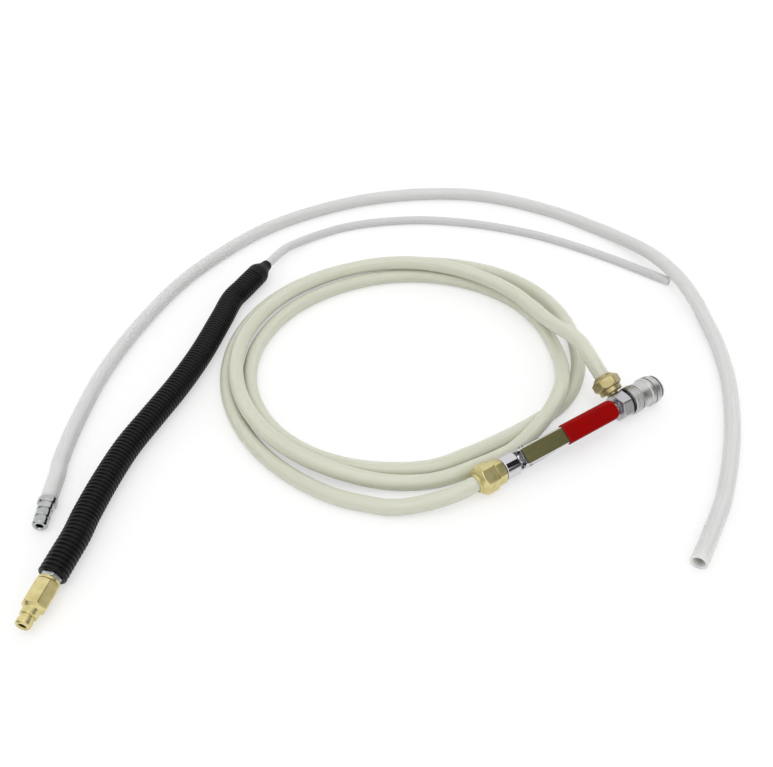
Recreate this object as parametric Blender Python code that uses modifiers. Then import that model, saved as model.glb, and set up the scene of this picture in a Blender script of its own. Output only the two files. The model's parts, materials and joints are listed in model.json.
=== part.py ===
"""Transmission fluid exchanger, modelled as the separate pieces it comes apart into.

Four assemblies lie on one flat surface: a flip-lever valve with a tee and a quick coupler,
the coiled hose that joins the tee to the valve's rear nut, a drain hose with a quick-connect
plug, and a dipstick probe with its corrugated sleeve, rubber cap and thin filler tube.

Units are metres. +X runs along the valve from its rear nut to the coupler, +Z is up, and the
origin lies on the surface under the middle of the valve. The valve lies rolled about its own
axis, so its pieces are built in a frame of their own: x along the axis, y towards the tee's
branch and z towards the lever.
"""
import math

import bmesh
import bpy
from mathutils import Euler, Vector

# Clearances and cutting allowances
FIT = 0.0003              # gap between pieces that touch
SIDE_GAP = 0.00015        # side play of a thin ring in its groove
OVERRUN = 0.002           # how far a cutter runs past the face it opens
MERGE = 0.00001           # distance under which seam points become one

# Facets
SIDES = 22                # large turned pieces
MIDDLE_SIDES = 18         # middling turned pieces
SMALL_SIDES = 14          # small and inner turned pieces
HOLE_SIDES = 6            # small cross holes
RING_POINTS = 6           # points round the section of a sealing ring
COIL_RESOLUTION = 1       # six-sided tube
HOSE_RESOLUTION = 2       # eight-sided tube
EDGE_DOWN = math.pi / 6   # turn of a six-sided tube that puts an edge at its bottom
WIRE_POINTS = 10          # points in each curl of a spring
WIRE_RESOLUTION = 0       # four-sided wire
ROUTE_FINENESS = 40       # points read for each point of a route, before they are evened out
SHARP_ANGLE = math.radians(35)

# Hexagons turned from bar
FACE_SHARE = 0.96         # radius of a nut's flat face, of half its flats
BLANK_SHARE = 1.02        # radius of the blank, of the hexagon's corner

# Hoses
HOSE_RADIUS = 0.006
HOSE_WALL = 0.00175
FILLER_RADIUS = 0.004
FILLER_WALL = 0.0011

# Compression nut, the same on both ends of the coiled hose
NUT_FLATS = 0.020
NUT_LENGTH = 0.0157
NUT_CHAMFER = 0.0012
NUT_NECK_RADIUS = 0.0072
NUT_NECK_LENGTH = 0.0025
NUT_LIP = 0.0039
NUT_BORE_RADIUS = 0.0076
FERRULE_LENGTH = 0.0053
TAIL_START = 0.002
FITTING_BORE = 0.0019
FITTING_CHAMFER = 0.0006
REAR_HEX_FLATS = 0.017
REAR_HEX_LENGTH = 0.0078
REAR_SPIGOT_RADIUS = 0.005
REAR_SPIGOT_LENGTH = 0.006

# Valve body
HEAD_RADIUS = 0.009
HEAD_LENGTH = 0.012
HEAD_CHAMFER = 0.0005
BARREL_RADIUS = 0.008
BARREL_LENGTH = 0.0219
TAPER_LENGTH = 0.022
NOSE_RADIUS = 0.0063
NOSE_LENGTH = 0.004
FLAT_HEIGHT = 0.004
FLAT_LENGTH = 0.0259
SOCKET_DEPTH = 0.0069
INLET_RADIUS = 0.002
OUTLET_RADIUS = 0.0049
OUTLET_START = 0.0279
PASSAGE_RADIUS = 0.0014
PASSAGE_DROP = 0.0056
PASSAGE_LAP = 0.003
CHAMBER_RADIUS = 0.0043
CHAMBER_DROP = 0.0032
SEAT_RADIUS = 0.0018

# Stem, its seal, its seat pad and its spring
PIN_SETBACK = 0.0069      # from the head's front shoulder to the pin
PIN_HEIGHT = 0.0082
STEM_RADIUS = 0.0016
CUP_RADIUS = 0.0036
CUP_LENGTH = 0.0015
CUP_RECESS = 0.0009
PAD_LENGTH = 0.0011
SEAL_MINOR = 0.0005
GLAND_DROP = 0.0014       # how far its shank reaches below the flat
GLAND_RADIUS = 0.0040
GLAND_FLATS = 0.0095
GLAND_HEAD = 0.0012
GLAND_CHAMFER = 0.0003
GLAND_GROOVE_LIP = 0.0006
CROSSHEAD_RADIUS = 0.0022
PIN_RADIUS = 0.0013
PIN_HEAD_RADIUS = 0.0021
PIN_HEAD_LENGTH = 0.0009
VALVE_WIRE = 0.0004
VALVE_TURNS = 2.5

# Lever, a bent channel whose two ears are cams, and its dipped grip
LEVER_WIDTH = 0.0138
LEVER_PLATE = 0.0012
LEVER_EAR = 0.0011
LEVER_TOP = 0.0119
LEVER_TIP = 0.0036        # from the lever's end to the grip's
LEVER_BEND = 0.0014
EAR_DEPTH_FRONT = 0.0034
EAR_FOOT = 0.004          # flat foot in front of the pin
EAR_TAPER_LAP = 0.0005    # how far the ears' taper runs into the grip
PLATE_SETBACK = 0.003     # from the pin back to the plate's rear edge
CAM_LIFT = 0.001
LEVER_SWING = math.pi / 2
CAM_STEPS = 10
GRIP_LENGTH = 0.0521
GRIP_SETBACK = 0.0069     # from the coupler's rear face back to the grip's end
GRIP_WIDTH = 0.016
GRIP_BOTTOM = 0.0065
GRIP_TOP = 0.0131
GRIP_ROUND = 0.0022
GRIP_CORNER = 0.005
GRIP_STEPS = 3
GRIP_SOFTEN_ANGLE = math.radians(40)

# Outlet pipe
PIPE_RADIUS = 0.005
PIPE_BORE = 0.0033
PIPE_FREE_LENGTH = 0.0545

# Coupler body, lengths in order from its rear face and setbacks from its front end
COUPLER_FLATS = 0.020
COUPLER_HEX_LENGTH = 0.010
COUPLER_CHAMFER = 0.0009
PIPE_SOCKET_DEPTH = 0.0033
COLLAR_RADIUS = 0.0093
COLLAR_LENGTH = 0.0045
COLLAR_RING_START = 0.0107
COLLAR_RING_WIDTH = 0.0016
COLLAR_RING_RADIUS = 0.0085
COLLAR_RING_MINOR = 0.0005
SPOOL_RADIUS = 0.0084
COUPLER_LENGTH = 0.043
POPPET_CHAMBER_LENGTH = 0.014
POPPET_CHAMBER_RADIUS = 0.005
LIP_SETBACK = 0.0155
LIP_LENGTH = 0.0015
LIP_RADIUS = 0.0039
PLUG_SOCKET_RADIUS = 0.0056
PLUG_MOUTH_RADIUS = 0.0068
PLUG_MOUTH_LENGTH = 0.001
SOCKET_SEAL_MINOR = 0.0008
SOCKET_SEAL_REACH = 0.00025   # how far the seal stands into the socket
SOCKET_SEAL_SETBACK = 0.0115
BALL_SETBACK = 0.007
BALL_RADIUS = 0.0015
BALL_HOLE_RADIUS = 0.00175
BALL_CIRCLE = 0.0068
BALL_COUNT = 6
SNAP_SETBACK = 0.002
SNAP_WIDTH = 0.0010
SNAP_DEPTH = 0.0006
SNAP_STAND = 0.0008
SNAP_SLOT = 0.003

# Coupler sleeve, lengths from its rear edge and setbacks from its front edge
SLEEVE_OFFSET = 0.0127    # from the coupler body's rear face
SLEEVE_STOP_GAP = 0.0002  # from its front edge to the snap ring's groove
SLEEVE_RIB_RADIUS = 0.0112
SLEEVE_WAIST_RADIUS = 0.0106
SLEEVE_RIB_PITCH = 0.0023
SLEEVE_RIBS = 3
SLEEVE_RIB_SIDE_SHARE = 0.25  # of the pitch, on each side of a rib's flat top
SLEEVE_BAND_SETBACK = 0.0113
SLEEVE_FLARE = 0.0015
SLEEVE_BAND_RADIUS = 0.01165
SLEEVE_CONE_LENGTH = 0.0023
SLEEVE_GROOVE_SETBACK = 0.0066
SLEEVE_GROOVE_WIDTH = 0.0007
SLEEVE_GROOVE_DEPTH = 0.0006
SLEEVE_MOUTH_RADIUS = 0.0101
SLEEVE_SPRING_RADIUS = 0.010
SLEEVE_LAND_SETBACK = 0.0098
SLEEVE_LAND_LENGTH = 0.0061
SLEEVE_RELEASE_RADIUS = 0.0096
SLEEVE_RELEASE_LENGTH = 0.0027
SLEEVE_WIRE = 0.0008
SLEEVE_TURNS = 3.5

# Poppet that shuts the coupler
POPPET_HEAD_RADIUS = 0.0046
POPPET_HEAD_LENGTH = 0.0034
POPPET_BOSS_RADIUS = 0.0034
POPPET_BOSS_LENGTH = 0.0045
POPPET_TAIL_RADIUS = 0.0028
POPPET_TAIL_LENGTH = 0.0063
POPPET_WIRE = 0.0008
POPPET_TURNS = 3.5

# Tee branch, on the coupler's hexagon
TEE_STATION = 0.005       # from the coupler body's rear face
TEE_PORT_DEPTH = 0.004
TEE_PORT_HOLE = 0.0026
TEE_SPIGOT_RADIUS = 0.0041
TEE_SHOULDER_RADIUS = 0.0048
TEE_SHOULDER_LENGTH = 0.0015
TEE_HEX_FLATS = 0.016
TEE_HEX_LENGTH = 0.0024

# Drain plug, lengths in order from the hose's end face
DRAIN_COLLAR_RADIUS = 0.0069
DRAIN_COLLAR_LENGTH = 0.0075
DRAIN_GROOVE_RADIUS = 0.0050
DRAIN_GROOVE_LENGTH = 0.0030
DRAIN_BODY_RADIUS = 0.0055
DRAIN_BODY_LENGTH = 0.0056
DRAIN_WAIST_RADIUS = 0.0048
DRAIN_WAIST_LENGTH = 0.0012
DRAIN_NOSE_RADIUS = 0.0054
DRAIN_NOSE_LENGTH = 0.0060
DRAIN_BORE = 0.0024
BARB_COUNT = 3
BARB_PITCH = 0.0037
BARB_RISE = 0.0005

# Probe plug, lengths in order from the corrugated sleeve's end face
LOCK_NUT_FLATS = 0.0135
LOCK_NUT_LENGTH = 0.0027
LOCK_NUT_CHAMFER = 0.00045
LOCK_SPIGOT_LENGTH = 0.010
WASHER_RADIUS = 0.0076
WASHER_LENGTH = 0.0018
PROBE_FLATS = 0.0155
PROBE_HEX_LENGTH = 0.0188
PROBE_CHAMFER = 0.0011
PROBE_CONE_LENGTH = 0.0017
PROBE_NIPPLE_RADIUS = 0.00575
PROBE_NIPPLE_LENGTH = 0.0048
PROBE_GROOVE_RADIUS = 0.0046
PROBE_GROOVE_LENGTH = 0.0022
PROBE_NOSE_RADIUS = 0.00525
PROBE_NOSE_LENGTH = 0.0048
PROBE_TIP_CHAMFER = 0.0006
PROBE_BORE = 0.00255
PROBE_STUB_RADIUS = 0.0047
PROBE_STUB_LENGTH = 0.0115
PROBE_TAIL_LENGTH = 0.010
PROBE_TAIL_BORE = 0.0012

# Corrugated sleeve and its rubber cap
RIB_CREST_RADIUS = 0.0099
RIB_ROOT_RADIUS = 0.0086
RIB_PITCH = 0.0033
CONDUIT_BORE = 0.0072
CAP_BAND_RADIUS = 0.0098
CAP_BAND_LENGTH = 0.009
CAP_DOME_RADIUS = 0.0071
CAP_DOME_LENGTH = 0.008
CAP_SWELL_SHARE = 0.7     # how much of the band's width the dome keeps at its middle
CAP_NECK_RADIUS = 0.0052
CAP_NECK_LENGTH = 0.0045
CAP_TIP_LENGTH = 0.0035
CAP_SPIGOT_LENGTH = 0.008
STRAIGHT_END = 0.017      # length of each end of the sleeve that stays straight

# How the valve lies
ROLL = math.radians(30)
AXIS_Z = SLEEVE_BAND_RADIUS
STATION_ZERO_X = -0.09075

# Where the loose assemblies lie: each one's first point and heading
DRAIN_END = Vector((-0.3482, 0.1515, 0.0070))
DRAIN_HEADING = math.radians(236.7)
PROBE_END = Vector((-0.3675, 0.0842, 0.0100))
PROBE_HEADING = math.radians(223.5)
CAP_END = Vector((-0.1070, 0.3020, 0.0100))
CAP_HEADING = math.radians(30.3)

# Routes chosen by hand: x, y and height of the hose's middle
DRAIN_ROUTE = (
    (-0.3294, 0.1830, 0.0062), (-0.3070, 0.2140, 0.0060), (-0.2670, 0.2600, 0.0060),
    (-0.2180, 0.3020, 0.0060), (-0.1620, 0.3390, 0.0060), (-0.1090, 0.3610, 0.0060),
    (-0.0550, 0.3745, 0.0060), (0.0000, 0.3755, 0.0060), (0.0590, 0.3650, 0.0060),
    (0.1160, 0.3400, 0.0060), (0.1650, 0.3020, 0.0060), (0.2020, 0.2440, 0.0060),
    (0.2210, 0.1880, 0.0064), (0.2260, 0.1460, 0.0096), (0.2230, 0.1170, 0.0135),
    (0.2160, 0.0840, 0.0145), (0.2060, 0.0540, 0.0120), (0.1940, 0.0280, 0.0081),
    (0.1780, 0.0000, 0.0061), (0.1480, -0.0370, 0.0060), (0.1070, -0.0750, 0.0060),
    (0.0550, -0.1120, 0.0060), (0.0210, -0.1295, 0.0060), (-0.0060, -0.1420, 0.0060),
)
CONDUIT_ROUTE = (
    (-0.3310, 0.1210, 0.0100), (-0.3080, 0.1440, 0.0100), (-0.2830, 0.1660, 0.0100),
    (-0.2540, 0.1862, 0.0100), (-0.2230, 0.2075, 0.0100), (-0.1910, 0.2332, 0.0100),
    (-0.1560, 0.2660, 0.0100),
)
FILLER_ROUTE = (
    (-0.0560, 0.3312, 0.0078), (-0.0340, 0.3365, 0.0056), (-0.0120, 0.3382, 0.0044),
    (0.0150, 0.3355, 0.0040), (0.0490, 0.3238, 0.0040), (0.0850, 0.3040, 0.0040),
    (0.1160, 0.2780, 0.0040), (0.1430, 0.2480, 0.0040), (0.1660, 0.2150, 0.0040),
    (0.1840, 0.1790, 0.0040), (0.1990, 0.1420, 0.0040), (0.2080, 0.1150, 0.0040),
    (0.2160, 0.0900, 0.0040),
)

# Coiled hose: its turns, as angle, radius and height about the coil's middle
COIL_MIDDLE = Vector((-0.054, 0.131, 0))
LOOP_POINTS = 24
COIL_LANES = (
    # first turn: over the others, down beside the valve, over the second turn again
    (-10, 0.1265, 0.0188), (10, 0.1255, 0.0184), (30, 0.1250, 0.0186), (50, 0.1262, 0.0184),
    (70, 0.1292, 0.0162), (90, 0.1320, 0.0140), (120, 0.1360, 0.0146), (150, 0.1390, 0.0165),
    (180, 0.1388, 0.0156), (200, 0.1362, 0.0136), (215, 0.1336, 0.0110), (232, 0.1309, 0.0066),
    (241, 0.1298, 0.0060), (248, 0.1288, 0.0060), (254, 0.1276, 0.0060), (260, 0.1250, 0.0060),
    (267, 0.1246, 0.0060), (273, 0.1254, 0.0062), (279, 0.1266, 0.0080), (285, 0.1277, 0.0118),
    (291, 0.1283, 0.0162), (298, 0.1285, 0.0187), (305, 0.1283, 0.0188), (312, 0.1279, 0.0164),
    (320, 0.1276, 0.0122), (332, 0.1278, 0.0068), (345, 0.1290, 0.0060),
    # second turn, the inner one
    (370, 0.1295, 0.0060), (390, 0.1260, 0.0060), (410, 0.1232, 0.0060), (430, 0.1212, 0.0060),
    (450, 0.1208, 0.0060), (480, 0.1248, 0.0060), (510, 0.1288, 0.0060), (540, 0.1288, 0.0060),
    (560, 0.1256, 0.0060), (575, 0.1220, 0.0060), (592, 0.1182, 0.0060), (601, 0.1170, 0.0060),
    (608, 0.1160, 0.0060), (614, 0.1148, 0.0060), (620, 0.1122, 0.0060), (627, 0.1118, 0.0060),
    (633, 0.1126, 0.0060), (639, 0.1140, 0.0060), (645, 0.1164, 0.0060), (651, 0.1206, 0.0060),
    (658, 0.1266, 0.0060), (665, 0.1322, 0.0060), (672, 0.1372, 0.0060), (680, 0.1410, 0.0060),
    # third turn, the outer one
    (700, 0.1484, 0.0060), (715, 0.1530, 0.0060), (727, 0.1545, 0.0060), (740, 0.1530, 0.0060),
    (755, 0.1482, 0.0060), (770, 0.1436, 0.0060), (790, 0.1424, 0.0060), (810, 0.1434, 0.0060),
    (840, 0.1458, 0.0060), (870, 0.1472, 0.0060), (900, 0.1482, 0.0060), (920, 0.1500, 0.0060),
    (935, 0.1524, 0.0060), (950, 0.1538, 0.0062),
)
COIL_FROM_TEE = (
    (0.0556, 0.0400, 0.0352), (0.0590, 0.0520, 0.0342), (0.0622, 0.0645, 0.0306),
    (0.0652, 0.0775, 0.0256), (0.0682, 0.0912, 0.0212),
)
COIL_TO_NUT = (
    (-0.1350, 0.0022, 0.0078), (-0.1200, -0.0045, 0.0102),
)

# Stations along the valve axis, from the rear nut's outer end
HOSE_DEPTH = NUT_LIP + FIT + FERRULE_LENGTH
NUT_SEAT = NUT_LENGTH + FIT
VALVE_START = NUT_SEAT + REAR_HEX_LENGTH + FIT
VALVE_LENGTH = HEAD_LENGTH + BARREL_LENGTH + TAPER_LENGTH + NOSE_LENGTH
PIN_STATION = VALVE_START + HEAD_LENGTH + PIN_SETBACK
NOSE_END = VALVE_START + VALVE_LENGTH
COUPLER_START = NOSE_END + PIPE_FREE_LENGTH
SLEEVE_START = COUPLER_START + SLEEVE_OFFSET
GRIP_END = COUPLER_START - GRIP_SETBACK
GRIP_START = GRIP_END - GRIP_LENGTH
LEVER_END = GRIP_END - LEVER_TIP
EAR_TAPER_END = GRIP_START + EAR_TAPER_LAP
TEE_REACH = COUPLER_FLATS / 2 + FIT + TEE_SHOULDER_LENGTH + TEE_HEX_LENGTH + NUT_SEAT

# Stations in the coupler body and in its sleeve, each from its own rear end
SNAP_GROOVE_START = COUPLER_LENGTH - SNAP_SETBACK
BALL_STATION = COUPLER_LENGTH - BALL_SETBACK
SOCKET_SEAL_STATION = COUPLER_LENGTH - SOCKET_SEAL_SETBACK
LIP_START = COUPLER_LENGTH - LIP_SETBACK
POPPET_CHAMBER_START = LIP_START - POPPET_CHAMBER_LENGTH
SLEEVE_LENGTH = SNAP_GROOVE_START - SLEEVE_STOP_GAP - SLEEVE_OFFSET
SLEEVE_BAND_START = SLEEVE_LENGTH - SLEEVE_BAND_SETBACK
SLEEVE_BAND_END = SLEEVE_LENGTH - SLEEVE_CONE_LENGTH
SLEEVE_GROOVE_AT = SLEEVE_LENGTH - SLEEVE_GROOVE_SETBACK
SLEEVE_LAND_START = SLEEVE_LENGTH - SLEEVE_LAND_SETBACK

# The valve's box is centred on the origin: the tee nut's neck reaches furthest one way and
# the grip's edge the other
REACH_OUT = TEE_REACH * math.cos(ROLL) + NUT_NECK_RADIUS * math.sin(ROLL)
REACH_BACK = (GRIP_WIDTH / 2) * math.cos(ROLL) + (GRIP_TOP - GRIP_ROUND / 2) * math.sin(ROLL)
AXIS_Y = (REACH_BACK - REACH_OUT) / 2

# Colours, roughness and metallic value of each finish
FINISHES = {
    "brass": ((0.72, 0.56, 0.24), 0.30, 1.0),
    "chrome": ((0.70, 0.70, 0.72), 0.12, 1.0),
    "zinc": ((0.56, 0.57, 0.59), 0.35, 1.0),
    "steel": ((0.50, 0.50, 0.48), 0.25, 1.0),
    "red_vinyl": ((0.40, 0.005, 0.005), 0.35, 0.0),
    "black_rubber": ((0.012, 0.012, 0.013), 0.55, 0.0),
    "black_plastic": ((0.010, 0.010, 0.011), 0.45, 0.0),
    "clear_hose": ((0.66, 0.66, 0.63), 0.25, 0.0),
    "pale_hose": ((0.63, 0.64, 0.54), 0.25, 0.0),
}

TURNS = {
    "+X": Euler((0, math.pi / 2, 0)),
    "+Y": Euler((-math.pi / 2, 0, 0)),
    "-Y": Euler((math.pi / 2, 0, 0)),
    "+Z": Euler((0, 0, 0)),
}


def collection(name):
    made = bpy.data.collections.new(name)
    bpy.context.scene.collection.children.link(made)
    return made


def clear_scene():
    for thing in list(bpy.data.objects):
        bpy.data.objects.remove(thing)


clear_scene()
PARTS = collection("transmission_fluid_exchanger")
CUTTERS = collection("cutters")


def finish_material(name):
    """The shared Principled material of one finish."""
    if name in bpy.data.materials:
        return bpy.data.materials[name]
    colour, roughness, metallic = FINISHES[name]
    material = bpy.data.materials.new(name)
    material.use_nodes = True
    shader = material.node_tree.nodes["Principled BSDF"]
    shader.inputs["Base Color"].default_value = (*colour, 1.0)
    shader.inputs["Roughness"].default_value = roughness
    shader.inputs["Metallic"].default_value = metallic
    material.diffuse_color = (*colour, 1.0)
    return material


def add_object(name, mesh, finish):
    """Link a mesh as a part, or as a hidden cutter where it has no finish."""
    thing = bpy.data.objects.new(name, mesh)
    if finish:
        PARTS.objects.link(thing)
        own = finish_material(finish).copy()
        own.name = name
        mesh.materials.append(own)
    else:
        CUTTERS.objects.link(thing)
        thing.hide_render = True
        thing.display_type = "WIRE"
    return thing


def frame_at(name, location, rotation=(0, 0, 0), parent=None):
    """An empty that carries pieces built in a frame of their own."""
    empty = bpy.data.objects.new(name, None)
    PARTS.objects.link(empty)
    empty.location = location
    empty.rotation_euler = rotation
    empty.parent = parent
    return empty


def place(thing, frame, along="+X", at=(0, 0, 0)):
    """Stand a piece built along local Z on a frame, facing the way given."""
    thing.parent = frame
    thing.rotation_euler = TURNS[along]
    thing.location = at
    return thing


def boolean(target, cutter, operation="DIFFERENCE"):
    step = target.modifiers.new(cutter.name, "BOOLEAN")
    step.object = cutter
    step.operation = operation
    step.solver = "EXACT"


def turned(name, outer, bore=None, finish=None, sides=SIDES):
    """Turn a profile about local Z. outer and bore list (station, radius) from back to front."""
    if bore:
        points = list(reversed(outer)) + list(bore)
    else:
        points = [(outer[-1][0], 0)] + list(reversed(outer)) + [(outer[0][0], 0)]
    mesh = bpy.data.meshes.new(name)
    edges = [(i, i + 1) for i in range(len(points) - 1)]
    if bore:
        edges.append((len(points) - 1, 0))
    mesh.from_pydata([(radius, 0, station) for station, radius in points], edges, [])
    thing = add_object(name, mesh, finish)
    screw = thing.modifiers.new("Turn", "SCREW")
    screw.axis = "Z"
    screw.angle = 2 * math.pi
    screw.steps = sides
    screw.render_steps = sides
    screw.use_merge_vertices = True
    screw.merge_threshold = MERGE
    return thing


def cylinder_mesh(name, radius, length, sides, spin=0.0):
    """A capped cylinder standing on local Z, from zero to its length."""
    mesh = bpy.data.meshes.new(name)
    shape = bmesh.new()
    bmesh.ops.create_cone(shape, cap_ends=True, segments=sides, radius1=radius, radius2=radius,
                          depth=length)
    bmesh.ops.rotate(shape, verts=shape.verts, matrix=Euler((0, 0, spin)).to_matrix())
    bmesh.ops.translate(shape, verts=shape.verts, vec=(0, 0, length / 2))
    shape.to_mesh(mesh)
    shape.free()
    return mesh


def hexagon(thing, flats, start, length, spin=0.0):
    """Cut a turned blank to a hexagonal bar that covers it from start to start + length."""
    bar_mesh = cylinder_mesh(thing.name + "_bar", flats / math.sqrt(3), length + 2 * OVERRUN, 6, spin)
    bar = add_object(thing.name + "_bar", bar_mesh, None)
    bar.parent = thing
    bar.location = (0, 0, start - OVERRUN)
    boolean(thing, bar, "INTERSECT")
    return thing


def hex_step(start, length, flats, chamfer):
    """The (station, radius) points of a chamfered hexagon's blank."""
    face = flats / 2 * FACE_SHARE
    blank = flats / math.sqrt(3) * BLANK_SHARE
    end = start + length
    return [(start, face), (start + chamfer, blank), (end - chamfer, blank), (end, face)]


def rod_cutter(name, frame, along, at, length, radius, sides=SMALL_SIDES, spin=0.0):
    """A cylindrical cutter that starts at a point and runs the way given."""
    cutter = add_object(name, cylinder_mesh(name, radius, length, sides, spin), None)
    return place(cutter, frame, along, at)


def box_mesh(name, low, high):
    """A box between two corners, from a cube primitive."""
    mesh = bpy.data.meshes.new(name)
    shape = bmesh.new()
    size = Vector(high) - Vector(low)
    middle = (Vector(high) + Vector(low)) / 2
    bmesh.ops.create_cube(shape, size=1)
    bmesh.ops.scale(shape, verts=shape.verts, vec=size)
    bmesh.ops.translate(shape, verts=shape.verts, vec=middle)
    shape.to_mesh(mesh)
    shape.free()
    return mesh


def box_cutter(name, frame, low, high):
    cutter = add_object(name, box_mesh(name, low, high), None)
    cutter.parent = frame
    return cutter


def sealing_ring(name, major, minor, finish, sides=SMALL_SIDES):
    """A round-section ring about local Z, its middle at zero."""
    ring = []
    for i in range(RING_POINTS):
        angle = 2 * math.pi * (i + 0.5) / RING_POINTS
        ring.append((minor * math.cos(angle), major + minor * math.sin(angle)))
    half = RING_POINTS // 2
    outer = sorted(ring[:half])
    inner = sorted(ring[half:])
    return turned(name, outer, inner, finish, sides)


def smooth_through(keys, values, at):
    """Read a smooth curve through values at the given keys: a cubic with shared slopes."""
    last = len(keys) - 1
    i = 0
    while i < last - 1 and at > keys[i + 1]:
        i += 1
    span = keys[i + 1] - keys[i]
    share = (at - keys[i]) / span

    def slope(k):
        low = max(k - 1, 0)
        high = min(k + 1, last)
        return (values[high] - values[low]) / (keys[high] - keys[low])

    h00 = 2 * share ** 3 - 3 * share ** 2 + 1
    h10 = share ** 3 - 2 * share ** 2 + share
    h01 = -2 * share ** 3 + 3 * share ** 2
    h11 = share ** 3 - share ** 2
    return (values[i] * h00 + slope(i) * (span * h10)
            + values[i + 1] * h01 + slope(i + 1) * (span * h11))


def smooth_route(points, step):
    """Even points along a smooth curve through a route's own points."""
    points = [Vector(point) for point in points]
    keys = [0.0]
    for one, two in zip(points, points[1:]):
        keys.append(keys[-1] + (two - one).length)
    fine = ROUTE_FINENESS * len(points)
    path = [smooth_through(keys, points, keys[-1] * i / fine) for i in range(fine + 1)]
    run = [0.0]
    for one, two in zip(path, path[1:]):
        run.append(run[-1] + (two - one).length)
    count = max(2, round(run[-1] / step))
    even = []
    k = 0
    for i in range(count + 1):
        target = run[-1] * i / count
        while k < len(run) - 2 and run[k + 1] < target:
            k += 1
        share = (target - run[k]) / (run[k + 1] - run[k])
        even.append(path[k].lerp(path[k + 1], share))
    return even


def settle(points, height):
    """Raise a lying hose's points wherever its smooth curve dips into the surface."""
    for point in points:
        point.z = max(point.z, height)
    return points


def path_length(points):
    return sum((two - one).length for one, two in zip(points, points[1:]))


def tube_mesh(name, points, radius, resolution, shares=None, caps=True, tilt=0.0):
    """A tube along points, as a mesh. shares scale the radius at each point."""
    curve = bpy.data.curves.new(name, "CURVE")
    curve.dimensions = "3D"
    curve.twist_mode = "Z_UP"
    curve.bevel_depth = radius
    curve.bevel_resolution = resolution
    curve.use_fill_caps = caps
    spline = curve.splines.new("POLY")
    spline.points.add(len(points) - 1)
    for i, point in enumerate(points):
        spline.points[i].co = (*point, 1)
        spline.points[i].tilt = tilt
        if shares:
            spline.points[i].radius = shares[i]
    guide = bpy.data.objects.new(name + "_guide", curve)
    bpy.context.scene.collection.objects.link(guide)
    bpy.context.view_layer.update()
    evaluated = guide.evaluated_get(bpy.context.evaluated_depsgraph_get())
    mesh = bpy.data.meshes.new_from_object(evaluated)
    bpy.data.objects.remove(guide)
    bpy.data.curves.remove(curve)
    shape = bmesh.new()
    shape.from_mesh(mesh)
    bmesh.ops.remove_doubles(shape, verts=shape.verts, dist=MERGE)
    bmesh.ops.recalc_face_normals(shape, faces=shape.faces)
    shape.to_mesh(mesh)
    shape.free()
    return mesh


def hose(name, points, radius, wall, resolution, finish, tilt=0.0):
    """A hollow hose: an open tube made solid inwards by its wall."""
    mesh = tube_mesh(name, points, radius, resolution, caps=False, tilt=tilt)
    thing = add_object(name, mesh, finish)
    shell = thing.modifiers.new("Wall", "SOLIDIFY")
    shell.thickness = wall
    shell.offset = -1
    shell.use_even_offset = True
    return thing


def flat_bore(radius, wall, resolution):
    """The radius that fits inside a hose of flat sides."""
    sides = 4 + 2 * resolution
    return radius * math.cos(math.pi / sides) - wall


def least_gap(name, points, diameter):
    """Print how near a wound tube's surface comes to itself, measured along its points."""
    least = math.inf
    run = [0.0]
    for one, two in zip(points, points[1:]):
        run.append(run[-1] + (two - one).length)
    for i, point in enumerate(points):
        for k in range(i + 2, len(points) - 1):
            if run[k] - run[i] < 4 * diameter:
                continue
            start = points[k]
            along = points[k + 1] - start
            share = min(1.0, max(0.0, (point - start).dot(along) / along.length_squared))
            least = min(least, (point - (start + along * share)).length)
    print(f"{name}: least gap to itself {(least - diameter) * 1000:.2f} mm")


def spring(name, frame, along, at, length, walls, wire, turns):
    """A helical spring between two seats, halfway between an inner and an outer wall."""
    inner, outer = walls
    middle_radius = (inner / math.cos(math.pi / WIRE_POINTS) + outer) / 2
    count = round(turns * WIRE_POINTS)
    points = []
    for i in range(count + 1):
        angle = 2 * math.pi * i / WIRE_POINTS
        climb = wire / 2 + FIT + (length - 2 * FIT - wire) * i / count
        points.append(Vector((middle_radius * math.cos(angle), middle_radius * math.sin(angle), climb)))
    pitch = (length - 2 * FIT - wire) / turns
    print(f"{name}: least gap to itself {(pitch - wire) * 1000:.2f} mm")
    mesh = tube_mesh(name, points, wire / 2, WIRE_RESOLUTION)
    return place(add_object(name, mesh, "steel"), frame, along, at)


def compression_nut(name, frame, along, at):
    """Hexagon nut with a round neck, through which the hose leaves."""
    outer = [(0, NUT_NECK_RADIUS), (NUT_NECK_LENGTH, NUT_NECK_RADIUS)]
    outer += hex_step(NUT_NECK_LENGTH, NUT_LENGTH - NUT_NECK_LENGTH, NUT_FLATS, NUT_CHAMFER)
    hole = HOSE_RADIUS + FIT
    bore = [(0, hole), (NUT_LIP, hole), (NUT_LIP, NUT_BORE_RADIUS), (NUT_LENGTH, NUT_BORE_RADIUS)]
    nut = turned(name, outer, bore, "brass")
    hexagon(nut, NUT_FLATS, 0, NUT_LENGTH)
    return place(nut, frame, along, at)


def ferrule(name, frame, along, at):
    start = NUT_LIP + FIT
    end = start + FERRULE_LENGTH
    outer_radius = NUT_BORE_RADIUS - FIT
    inner_radius = HOSE_RADIUS + FIT
    ring = turned(name, [(start, outer_radius), (end, outer_radius)],
                  [(start, inner_radius), (end, inner_radius)], "brass", MIDDLE_SIDES)
    return place(ring, frame, along, at)


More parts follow.
